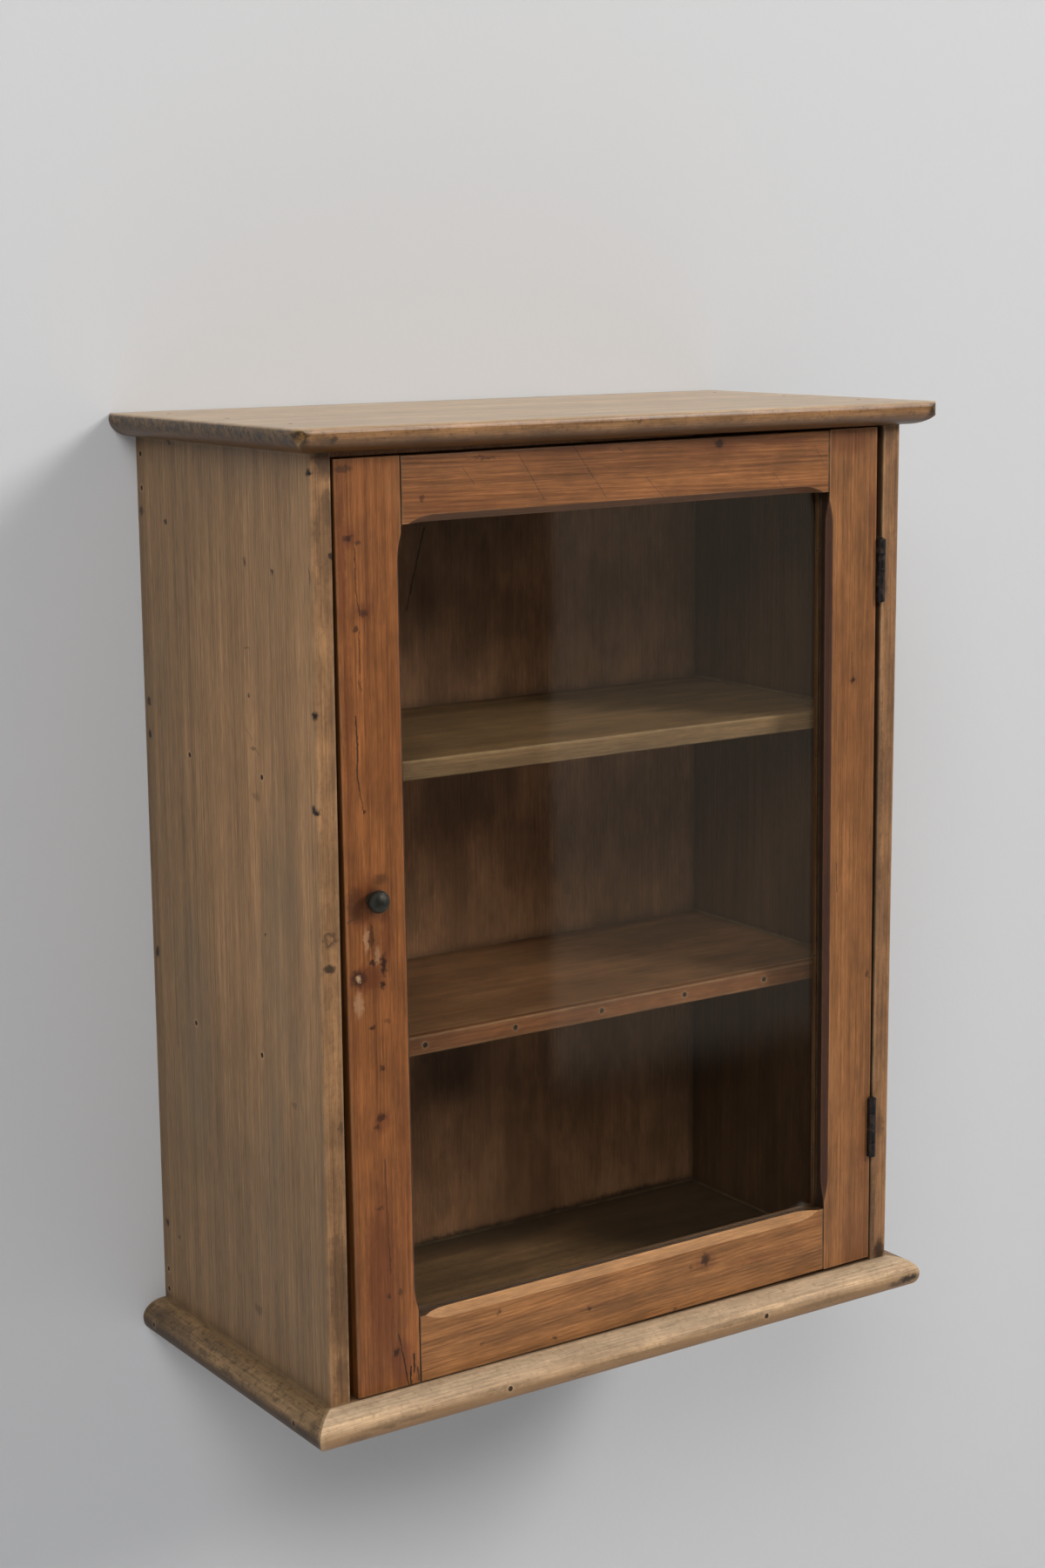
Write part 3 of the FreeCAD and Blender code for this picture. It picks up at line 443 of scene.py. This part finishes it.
def top_wood():
    wood = Wood("pine_top", "yzx", 3, (-0.32, 0.70), (0.03, 0.0), 230.0)
    net = wood.net
    # The upper face is paler than the nose: partly its own colour, partly a painted sheen
    upper = wood.grain(srgb(187, 160, 128), srgb(160, 129, 98), 0.35, 0.20, 0.16, 0.14)
    upper = wood.cloud(upper, srgb(170, 144, 114), 0.4, 0.7, 0.5)
    nose = wood.grain(srgb(148, 108, 71), srgb(112, 76, 44), 0.3, 0.22, 0.25, 0.26)
    nose = wood.specked(nose, srgb(84, 57, 34), 0.5)
    end = wood.grain(srgb(108, 78, 40), srgb(80, 55, 27), 0.4, 0.3, 0.2, 0.35)
    end = wood.specked(end, srgb(36, 25, 15), 0.9, 0.42)
    under = wood.grain(srgb(90, 57, 22), srgb(62, 39, 15), 0.3, 0.25)
    nose = net.mix(net.step(net.math("ABSOLUTE", wood.x), *TOP_END_REACH), nose, end)
    colour = net.mix(net.step(wood.z, TOP_FACE - 0.0080, TOP_FACE - 0.0155), nose, under)
    colour = net.mix(net.step(wood.z, TOP_FACE - 0.0020, TOP_FACE - 0.0004), colour, upper)
    stains = net.most(wood.spots("y", TOP_FRONT, TOP_FRONT_SPOTS), wood.spots("x", TOP_LEFT, TOP_LEFT_SPOTS))
    colour = net.mix(stains, colour, srgb(48, 36, 27))
    colour = wood.worn(colour, srgb(200, 170, 130), 0.003, 0.4)
    # Painted shade and soiling in the corners and gaps
    colour = wood.dirt_and_shade(colour, srgb(36, 26, 18), 0.010, 0.8)
    return wood.finish(colour, 0.36, specular=0.42)


def base_wood(name, axes, seed, early, late, low, axis, face, spots, mark=srgb(36, 27, 20), specks=0.35,
              lit_share=0.0):
    """low colours the stains, the specks and the lower edge, darker there as painted shade; lit_share is how
    far the upper edge is painted paler as light.
    """
    wood = Wood(name, axes, seed, (0.20, 0.30), (0.02, 0.0), 240.0)
    net = wood.net
    colour = wood.grain(early, late, 0.3, 0.28, 0.18, 0.24)
    colour = wood.cloud(colour, low, 0.50, 0.76, 0.5)
    # Painted shade: darker along the lower edge, where the profile turns under
    colour = net.mix(net.step(wood.z, *SHADED_HEIGHTS, 0.0, 0.85), colour, low)
    # Painted light: paler along the upper edge, which faces up
    if lit_share:
        lit_band = net.step(wood.z, *LIT_HEIGHTS, 0.0, lit_share)
        colour = net.mix(lit_band, colour, wood.shaded(LIT_MOULDING))
    colour = wood.specked(colour, low, specks)
    stains = wood.spots(axis, face, spots, ROUND_DEPTH)
    colour = net.mix(stains, colour, mark)
    wood.sink(stains, 0.3)
    colour = wood.worn(colour, srgb(206, 176, 138), 0.003, 0.35)
    # Painted shade and soiling in the corners and gaps
    colour = wood.dirt_and_shade(colour, srgb(40, 29, 20), 0.010, 0.75)
    return wood.finish(colour, 0.56, specular=0.36)


dress(top_wood(), "top_board")
dress(base_wood("pine_front_moulding", "zyx", 4, srgb(200, 166, 128), srgb(168, 131, 94), srgb(134, 100, 66),
                "y", BASE_FRONT, FRONT_MOULDING_SPOTS, lit_share=0.6), "front_moulding")
dress(base_wood("pine_left_moulding", "zxy", 5, srgb(146, 116, 81), srgb(106, 80, 52), srgb(53, 36, 20),
                "x", -BASE_SIDE, LEFT_MOULDING_SPOTS, specks=0.65), "left_moulding")
dress(base_wood("pine_right_moulding", "zxy", 17, srgb(150, 119, 88), srgb(116, 89, 62), srgb(92, 68, 47),
                "x", BASE_SIDE, RIGHT_MOULDING_SPOTS), "right_moulding")
dress(base_wood("pine_bottom_board", "yzx", 6, srgb(138, 102, 70), srgb(100, 69, 44), srgb(80, 56, 38),
                "z", FLOOR_FACE, FLOOR_GRIME, srgb(54, 41, 31)), "bottom_board")


# Door frame

LEFT_STILE_SPOTS = [
    ((-240, 702), (9.7, 3.6), 0.6), ((-238, 654), (4.8, 3.6), 0.85), ((-229, 651), (3.5, 2.4), 0.65),
    ((-226, 602), (4.2, 4.3), 0.65), ((-233, 591), (2.8, 2.4), 0.7), ((-230, 551), (2.1, 5.5), 0.5),
    ((-228, 461), (2.8, 2.8), 0.85), ((-217, 411), (7.9, 5.7), 0.5), ((-237, 395), (11.4, 17.0), 0.5),
    ((-215, 348), (3.4, 11.5), 0.95), ((-216, 334), (3.6, 4.5), 0.95), ((-224, 351), (2.9, 3.8), 0.9),
    ((-236, 341), (9.3, 8.9), 0.8), ((-225, 371), (2.9, 16.5), 0.65), ((-225, 303), (2.9, 2.6), 0.8),
    ((-213, 306), (4.4, 2.6), 0.4), ((-217, 272), (3.3, 3.2), 0.75), ((-219, 235), (5.1, 3.9), 0.75),
    ((-223, 229), (2.9, 2.6), 0.65), ((-222, 167), (4.4, 2.6), 0.6), ((-215, 98), (3.0, 2.7), 0.7),
    ((-206, 99), (3.0, 2.7), 0.6), ((-210, 53), (3.7, 4.1), 0.9),
]
LEFT_STILE_CRACKS = [
    ((-232, 647), (-232, 617), 0.8, 0.7), ((-232, 617), (-229, 600), 0.8, 0.7),
    ((-230, 589), (-230, 560), 0.8, 0.6), ((-234, 530), (-233, 502), 0.9, 0.85),
    ((-233, 502), (-234, 489), 0.9, 0.8), ((-234, 489), (-232, 477), 0.9, 0.8),
    ((-232, 477), (-229, 461), 0.8, 0.7), ((-244, 383), (-240, 385), 0.8, 0.7),
    ((-217, 203), (-215, 142), 0.8, 0.5), ((-215, 142), (-214, 115), 0.8, 0.5),
    ((-208, 67), (-204, 48), 0.9, 0.8), ((-204, 48), (-200, 25), 1.0, 0.9),
    ((-195, 48), (-195, 34), 1.2, 0.95), ((-198, 39), (-198, 25), 1.2, 0.95),
    ((-192, 37), (-191, 27), 1.2, 0.9),
]
LEFT_STILE_STAINS = [
    ((-230, 396), (16.0, 30.0), 0.55), ((-212, 372), (6.0, 36.0), 0.5), ((-229, 340), (18.0, 14.0), 0.7),
    ((-243, 640), (5.0, 70.0), 0.5), ((-240, 520), (4.0, 90.0), 0.35), ((-238, 655), (12.0, 12.0), 0.5),
    ((-226, 603), (9.0, 9.0), 0.5), ((-200, 190), (6.0, 110.0), 0.3), ((-218, 232), (10.0, 12.0), 0.45),
    ((-206, 45), (14.0, 26.0), 0.55), ((-222, 110), (16.0, 90.0), 0.5),
]
LEFT_STILE_PALE = [
    ((-236, 341), (3.4, 3.4), 0.9), ((-236, 322), (5.0, 12.8), 0.45), ((-229, 368), (2.9, 12.7), 0.45),
    ((-220, 356), (2.9, 8.9), 0.4),
]
TOP_RAIL_CRACKS = [
    ((-96, 707), (-73, 672), 0.55, 0.55), ((-47, 709), (-18, 671), 0.55, 0.5),
    ((-8, 707), (-2, 703), 0.55, 0.4), ((18, 684), (34, 669), 0.55, 0.45),
    ((-144, 700), (-133, 686), 0.55, 0.35), ((139, 682), (151, 669), 0.55, 0.35),
    ((179, 702), (190, 685), 0.55, 0.3),
]
BOTTOM_RAIL_SPOTS = [
    ((77, 62), (6.0, 6.6), 0.85), ((-119, 64), (3.1, 2.8), 0.6), ((-36, 47), (3.3, 2.8), 0.7),
    ((-68, 31), (2.8, 2.1), 0.7), ((-135, 42), (2.3, 2.1), 0.5), ((47, 27), (2.6, 2.2), 0.6),
    ((63, 58), (3.5, 2.9), 0.5),
]
RIGHT_STILE_SPOTS = [((222, 514), (2.7, 3.1), 0.95), ((243, 271), (2.8, 3.7), 0.6)]
RIGHT_STILE_STAINS = [
    ((215, 704), (30.0, 16.0), 0.5), ((242, 640), (6.0, 40.0), 0.35), ((240, 120), (8.0, 50.0), 0.3),
]
RIGHT_STILE_CRACKS = [
    ((221, 536), (222, 516), 0.7, 0.5), ((208, 368), (209, 343), 0.7, 0.7),
    ((241, 269), (246, 267), 0.7, 0.5),
]
TOP_RAIL_SPOTS = [
    ((87, 706), (6.0, 5.0), 0.9), ((-177, 679), (2.9, 3.0), 0.6), ((-125, 705), (17.0, 2.0), 0.6),
]
TOP_RAIL_STAINS = [
    ((87, 704), (26.0, 7.0), 0.4), ((-40, 708), (40.0, 4.0), 0.4), ((150, 706), (40.0, 5.0), 0.4),
]
BOTTOM_RAIL_STAINS = [((78, 60), (16.0, 11.0), 0.35), ((140, 52), (60.0, 5.0), 0.3)]

# The door hangs a little low at the knob, so its rails are measured along the way they lie
SAG = math.radians(0.42)
SAG_PIVOT = (0.2470, DOOR_FACE, 0.3696)
SAG_WAY = (math.cos(SAG), 0.0, math.sin(SAG))
RAIL_MIDDLE = -0.2442
RAIL_REACH = 0.1952
# Painted shade on the stiles' bevels
SHADED_CHAMFER = srgb(76, 43, 25)
JOINT_SHADE = srgb(36, 22, 13)


def door_wood(name, axes, seed, pith, lean, early, late, rings, edge, chamfer, spots, stains, cracks=(),
              pale=()):
    """edge points from the board towards the glass, and chamfer is the colour of the bevel there, painted
    darker as shade where the bevel faces down or away from the light and paler as light where it faces up.
    """
    wood = Wood(name, axes, seed, pith, lean, 280.0)
    net = wood.net
    colour = wood.grain(early, late, rings, 0.32, 0.24, 0.22)
    colour = wood.cloud(colour, late, 0.50, 0.74, 0.6)
    colour = wood.cloud(colour, srgb(168, 116, 70), 0.42, 0.24, 0.5)
    facing = net.vector("DOT_PRODUCT", wood.normal, edge)
    # The bevel, in its colour of painted light and shade
    colour = net.mix(net.step(facing, 0.30, 0.42), colour, wood.shaded(chamfer))
    # Painted shade: the inner face beside the glass, almost black in the rebate
    colour = net.mix(net.step(facing, 0.90, 0.97, 0.0, 0.9), colour, srgb(34, 22, 14))
    colour = wood.marked(colour, wood.spots("y", DOOR_FACE, stains), srgb(92, 44, 20))
    colour = wood.marked(colour, wood.spots("y", DOOR_FACE, spots), srgb(46, 24, 14))
    colour = wood.marked(colour, wood.spots("y", DOOR_FACE, pale), srgb(176, 138, 104))
    lines = wood.cracks("y", DOOR_FACE, cracks)
    colour = wood.marked(colour, lines, srgb(34, 20, 12))
    wood.sink(lines)
    if axes[2] == "x":
        from_hinges = net.vector("DOT_PRODUCT", net.vector("SUBTRACT", wood.place, SAG_PIVOT), SAG_WAY)
        from_middle = net.math("ABSOLUTE", net.math("SUBTRACT", from_hinges, RAIL_MIDDLE))
        joint = net.step(from_middle, RAIL_REACH - 0.0024, RAIL_REACH - 0.0010)
        colour = net.mix(joint, colour, JOINT_SHADE)
    colour = wood.worn(colour, srgb(184, 134, 90), 0.0026, 0.35)
    # Painted shade and soiling in the corners and gaps
    colour = wood.dirt_and_shade(colour, srgb(34, 22, 14), 0.008, 0.8)
    return wood.finish(colour, 0.40, specular=0.45)


dress(door_wood("pine_left_stile", "xyz", 7, (-0.08, -0.10), (0.006, 0.0), srgb(135, 81, 40),
                srgb(94, 50, 22), 0.2, (1.0, 0.0, 0.0), SHADED_CHAMFER, LEFT_STILE_SPOTS, LEFT_STILE_STAINS,
                LEFT_STILE_CRACKS, LEFT_STILE_PALE), "left_stile")
dress(door_wood("pine_right_stile", "xyz", 8, (0.36, -0.10), (-0.006, 0.0), srgb(143, 94, 54),
                srgb(107, 62, 31), 0.25, (-1.0, 0.0, 0.0), SHADED_CHAMFER, RIGHT_STILE_SPOTS,
                RIGHT_STILE_STAINS, RIGHT_STILE_CRACKS), "right_stile")
# The top rail's bevel faces down and is painted darker as shade
dress(door_wood("pine_top_rail", "zyx", 9, (0.60, -0.08), (0.03, 0.0), srgb(140, 89, 49), srgb(101, 56, 25),
                0.5, (0.0, 0.0, -1.0), srgb(108, 70, 42), TOP_RAIL_SPOTS, TOP_RAIL_STAINS, TOP_RAIL_CRACKS),
      "top_rail")
# The bottom rail's bevel faces up and is painted paler as light
dress(door_wood("pine_bottom_rail", "zyx", 10, (0.17, -0.10), (-0.08, 0.0), srgb(152, 102, 58),
                srgb(111, 64, 31), 0.5, (0.0, 0.0, 1.0), srgb(182, 132, 86), BOTTOM_RAIL_SPOTS,
                BOTTOM_RAIL_STAINS), "bottom_rail")


# Inside: shelves, back, battens, beads and the keeper

BACK_CRACKS = [((-25, 632), (-43, 566), 0.8, 0.9)]
# Grime on the back panel, and painted shade: strips along its foot at the bottom board and patches darkened
# where the panel lies in shade
BACK_GRIME_AND_SHADE = [
    ((40, 24), (210, 7), 0.8), ((180, 24), (120, 9), 0.8), ((-10, 190), (46, 60), 0.6),
    ((30, 640), (110, 70), 0.45), ((20, 420), (60, 60), 0.35), ((225, 120), (50, 110), 0.25),
    ((-190, 150), (110, 120), 0.3), ((5, 560), (80, 75), 0.22), ((170, 350), (110, 90), 0.25),
]
BACK_FIGURE = (0.15, 0.18, 0.09, 0.28)
BACK_REAR = srgb(124, 98, 71)


def inner_wood(name, axes, seed, pith, early, late, cracks=(), grime_and_shade=(), figure=(0.3, 0.24, 0.16, 0.24),
               rear=None):
    """figure gives the strength of rings, fibres, bands and smudges, and rear the colour behind a panel."""
    wood = Wood(name, axes, seed, pith, (0.03, 0.0), 260.0)
    colour = wood.grain(early, late, *figure)
    colour = wood.cloud(colour, late, 0.46, 0.74, 0.7)
    if rear:
        behind = wood.net.step(wood.y, PANEL_FACE + 0.005, PANEL_FACE + 0.007)
        colour = wood.net.mix(behind, colour, wood.shaded(rear))
    colour = wood.marked(colour, wood.cracks("y", PANEL_FACE, cracks), srgb(16, 11, 8))
    # Grime and painted shade on the back panel
    colour = wood.marked(colour, wood.spots("y", PANEL_FACE, grime_and_shade), srgb(36, 26, 19))
    colour = wood.worn(colour, srgb(188, 150, 108), 0.0026, 0.6)
    # Painted shade and soiling in the corners and gaps
    colour = wood.dirt_and_shade(colour, srgb(22, 15, 10), 0.014, 0.8)
    return wood.finish(colour, 0.60, specular=0.3)


dress(inner_wood("pine_upper_shelf", "yzx", 11, (-0.30, 0.45), srgb(134, 99, 66), srgb(96, 66, 42)),
      "upper_shelf")
dress(inner_wood("pine_lower_shelf", "yzx", 12, (-0.28, 0.25), srgb(140, 95, 63), srgb(97, 61, 38)),
      "lower_shelf")
dress(inner_wood("pine_lipping", "zyx", 18, (0.10, -0.15), srgb(129, 78, 46), srgb(90, 50, 27)),
      "shelf_lipping")
dress(inner_wood("pine_back", "xyz", 13, (-0.42, 0.15), srgb(161, 112, 79), srgb(105, 70, 47),
                 BACK_CRACKS, BACK_GRIME_AND_SHADE, BACK_FIGURE, BACK_REAR), "back_panel", "keeper_block")
dress(inner_wood("pine_battens", "zyx", 14, (0.50, 0.10), srgb(128, 98, 68), srgb(94, 68, 44)),
      "hanging_batten", "lower_batten")
dress(inner_wood("pine_tall_beads", "xyz", 15, (0.1, -0.2), srgb(132, 86, 52), srgb(98, 58, 31)),
      "glazing_bead_left", "glazing_bead_right")
dress(inner_wood("pine_wide_beads", "zyx", 16, (0.2, -0.2), srgb(132, 86, 52), srgb(98, 58, 31)),
      "glazing_bead_top", "glazing_bead_bottom")


# Ironwork and nails

def metal(name, colour, rust, roughness, rust_start, rust_end):
    material = bpy.data.materials.new(name)
    material.use_nodes = True
    net = Net(material.node_tree)
    shader = net.tree.nodes["Principled BSDF"]
    place = net.place()
    patches = net.noise(place, (220.0, 220.0, 220.0), 5.0, 0.65)
    grit = net.noise(place, (1900.0, 1900.0, 1900.0), 3.0, 0.6)
    mask = net.step(patches, rust_start, rust_end)
    net.put(shader.inputs["Base Color"], net.mix(mask, colour, rust))
    net.put(shader.inputs["Metallic"], net.step(mask, 0.0, 1.0, 0.85, 0.1))
    gritty = net.step(grit, 0.3, 0.7, roughness - 0.06, roughness + 0.06)
    net.put(shader.inputs["Roughness"], net.math("ADD", net.times(mask, 0.3), gritty))
    height = net.math("ADD", net.times(patches, 0.7), net.times(grit, 0.3))
    bump = net.node("ShaderNodeBump", {"Strength": 0.3, "Distance": 0.0004, "Height": height})
    net.put(shader.inputs["Normal"], bump.outputs[0])
    return material


dress(metal("knob_iron", srgb(66, 64, 57), srgb(44, 40, 34), 0.46, 0.50, 0.75), "knob", "knob_rose")
dress(metal("hinge_iron", srgb(58, 55, 54), srgb(62, 46, 36), 0.46, 0.45, 0.70),
      "upper_hinge_case_leaf", "upper_hinge_door_leaf", "upper_hinge_pin",
      "lower_hinge_case_leaf", "lower_hinge_door_leaf", "lower_hinge_pin",
      "knob_spindle", "latch_spacer", "latch_tongue", "latch_nut", "hinge_case_screws", "hinge_door_screws")
dress(metal("nail_steel", srgb(64, 58, 54), srgb(52, 34, 24), 0.55, 0.40, 0.65),
      "top_nails", "bottom_nails", "side_nails", "back_nails", "lipping_nails", "keeper_nails",
      "glazing_pins")
dress(metal("rusty_steel", srgb(92, 68, 48), srgb(66, 46, 30), 0.65, 0.40, 0.65), "moulding_nails")


# Glass

def glass():
    """Clear old glass. Light passes straight through it to the shelves."""
    material = bpy.data.materials.new("old_glass")
    material.use_nodes = True
    net = Net(material.node_tree)
    shader = net.tree.nodes["Principled BSDF"]
    shader.inputs["Base Color"].default_value = srgb(236, 242, 240)
    shader.inputs["Transmission Weight"].default_value = 1.0
    shader.inputs["IOR"].default_value = 1.47
    smears = net.noise(net.place(), (14.0, 14.0, 6.0), 4.0, 0.6)
    net.put(shader.inputs["Roughness"], net.step(smears, 0.40, 0.75, 0.015, 0.06))
    waves = net.noise(net.place(), (9.0, 9.0, 5.0), 1.0)
    bump = net.node("ShaderNodeBump", {"Strength": 0.1, "Distance": 0.002, "Height": waves})
    net.put(shader.inputs["Normal"], bump.outputs[0])
    rays = net.node("ShaderNodeLightPath").outputs
    clear = net.node("ShaderNodeBsdfTransparent", {"Color": srgb(244, 247, 246)}).outputs[0]
    passing = net.most(rays["Is Shadow Ray"], rays["Is Diffuse Ray"])
    both = net.node("ShaderNodeMixShader", (passing, shader.outputs[0], clear)).outputs[0]
    net.put(net.tree.nodes["Material Output"].inputs["Surface"], both)
    return material


dress(glass(), "glass_pane")


# Stage: a pale wall behind, a pale floor below and one glowing card, a painted reflection for the glass to
# mirror

def plane(name, corners, material):
    mesh = bpy.data.meshes.new(name)
    mesh.from_pydata(corners, [], [tuple(range(len(corners)))])
    mesh.materials.append(material)
    made = bpy.data.objects.new(name, mesh)
    scene.collection.objects.link(made)
    return made


def one_sided(name, colour):
    """Plain paint that shows nothing from behind and lets light through from there."""
    material = bpy.data.materials.new(name)
    material.use_nodes = True
    net = Net(material.node_tree)
    shader = net.tree.nodes["Principled BSDF"]
    shader.inputs["Base Color"].default_value = colour
    shader.inputs["Roughness"].default_value = 0.85
    shader.inputs["Specular IOR Level"].default_value = 0.2
    pits = net.noise(net.place(), (90.0, 90.0, 90.0), 4.0, 0.6)
    bump = net.node("ShaderNodeBump", {"Strength": 0.12, "Distance": 0.002, "Height": pits})
    net.put(shader.inputs["Normal"], bump.outputs[0])
    behind = net.node("ShaderNodeNewGeometry").outputs["Backfacing"]
    through = net.most(behind, net.node("ShaderNodeLightPath").outputs["Is Shadow Ray"])
    clear = net.node("ShaderNodeBsdfTransparent").outputs[0]
    both = net.node("ShaderNodeMixShader", (through, shader.outputs[0], clear)).outputs[0]
    net.put(net.tree.nodes["Material Output"].inputs["Surface"], both)
    return material


PALE_GREY = srgb(206, 206, 207)
FLOOR_Z = -0.75
FLOOR_FRONT = -5.0
STAGE_REACH = 4.0
wall_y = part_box("left_side")[1].y + 0.0005
plane("wall", [(-STAGE_REACH, wall_y, FLOOR_Z), (STAGE_REACH, wall_y, FLOOR_Z),
               (STAGE_REACH, wall_y, STAGE_REACH), (-STAGE_REACH, wall_y, STAGE_REACH)],
      one_sided("wall_paint", PALE_GREY))
plane("floor", [(-STAGE_REACH, wall_y, FLOOR_Z), (-STAGE_REACH, FLOOR_FRONT, FLOOR_Z),
                (STAGE_REACH, FLOOR_FRONT, FLOOR_Z), (STAGE_REACH, wall_y, FLOOR_Z)],
      one_sided("floor_paint", PALE_GREY))


PATCH_TINT = (1.0, 0.83, 0.66, 1.0)
PATCH_LEFT = (0.955, 1.0)
PATCH_RIGHT = (1.52, 1.46)
PATCH_FOOT = (-0.40, -0.26)
PATCH_LIGHT = (0.02, 0.28)
CARD_Y = -1.611
CARD_CORNERS = [(-1.5, CARD_Y, -2.0), (4.5, CARD_Y, -2.0), (4.5, CARD_Y, 2.5), (-1.5, CARD_Y, 2.5)]


def reflection_glow():
    """A grey glowing screen with one paler glowing patch, which only reflections see: a painted reflection
    in the glass and the other glossy surfaces.
    """
    material = bpy.data.materials.new("reflection_glow")
    material.use_nodes = True
    net = Net(material.node_tree)
    x, _, z = net.axes(net.place())
    patch = net.times(net.step(x, *PATCH_LEFT), net.step(x, *PATCH_RIGHT), net.step(z, *PATCH_FOOT))
    strength = net.step(patch, 0.0, 1.0, *PATCH_LIGHT)
    light = net.node("ShaderNodeEmission", {"Color": PATCH_TINT, "Strength": strength}).outputs[0]
    mirrored = net.math("GREATER_THAN", net.node("ShaderNodeLightPath").outputs["Glossy Depth"], 0.5)
    clear = net.node("ShaderNodeBsdfTransparent").outputs[0]
    both = net.node("ShaderNodeMixShader", (mirrored, clear, light)).outputs[0]
    net.put(net.tree.nodes["Material Output"].inputs["Surface"], both)
    return material


card = plane("reflection_glow_card", CARD_CORNERS, reflection_glow())
card.visible_camera = False
card.visible_diffuse = False
card.visible_shadow = False


# Light

def lamp(name, place, target, size, power, colour=(1.0, 1.0, 1.0), glossy=True):
    data = bpy.data.lights.new(name, "AREA")
    data.shape = "RECTANGLE"
    data.size, data.size_y = size
    data.energy = power
    data.color = colour
    made = bpy.data.objects.new(name, data)
    made.location = place
    made.rotation_euler = (Vector(target) - Vector(place)).to_track_quat("-Z", "Y").to_euler()
    made.visible_glossy = glossy
    scene.collection.objects.link(made)


middle = (0.0, 0.0, 0.37)
lamp("key", (2.5, -3.1, 2.6), middle, (1.3, 1.3), 115.0, (1.0, 0.98, 0.95))
lamp("fill", (-2.2, -2.9, 3.0), middle, (2.0, 2.0), 93.0, (0.97, 0.99, 1.0), glossy=False)
lamp("front_fill", (-1.2, -3.2, 0.5), middle, (2.2, 1.6), 7.0, glossy=False)
lamp("back_fill", (0.4, 3.0, 1.6), middle, (2.4, 2.4), 50.0, glossy=False)

SKY_LIGHT = 0.13
SKY_SHOWN = 0.62
world = bpy.data.worlds.new("studio")
scene.world = world
world.use_nodes = True
sky = Net(world.node_tree)
background = world.node_tree.nodes["Background"]
seen = sky.node("ShaderNodeLightPath").outputs
shown = sky.most(seen["Is Camera Ray"], seen["Is Glossy Ray"], seen["Is Transmission Ray"])
sky.put(background.inputs["Color"], (0.93, 0.95, 1.0, 1.0))
sky.put(background.inputs["Strength"], sky.step(shown, 0.0, 1.0, SKY_LIGHT, SKY_SHOWN))


# Camera at the photograph's place

CAMERA_PLACE = (-1.160103, -1.706459, 0.829898)
CAMERA_RIGHT = Vector((0.828900, -0.559338, -0.008082))
CAMERA_UP = Vector((0.111237, 0.150652, 0.982309))


def camera():
    data = bpy.data.cameras.new("camera")
    data.sensor_width = 36.0
    data.lens = 61.07
    made = bpy.data.objects.new("camera", data)
    turn = Matrix((CAMERA_RIGHT, CAMERA_UP, CAMERA_RIGHT.cross(CAMERA_UP))).transposed()
    made.matrix_world = Matrix.Translation(CAMERA_PLACE) @ turn.to_4x4()
    scene.collection.objects.link(made)
    scene.camera = made


camera()
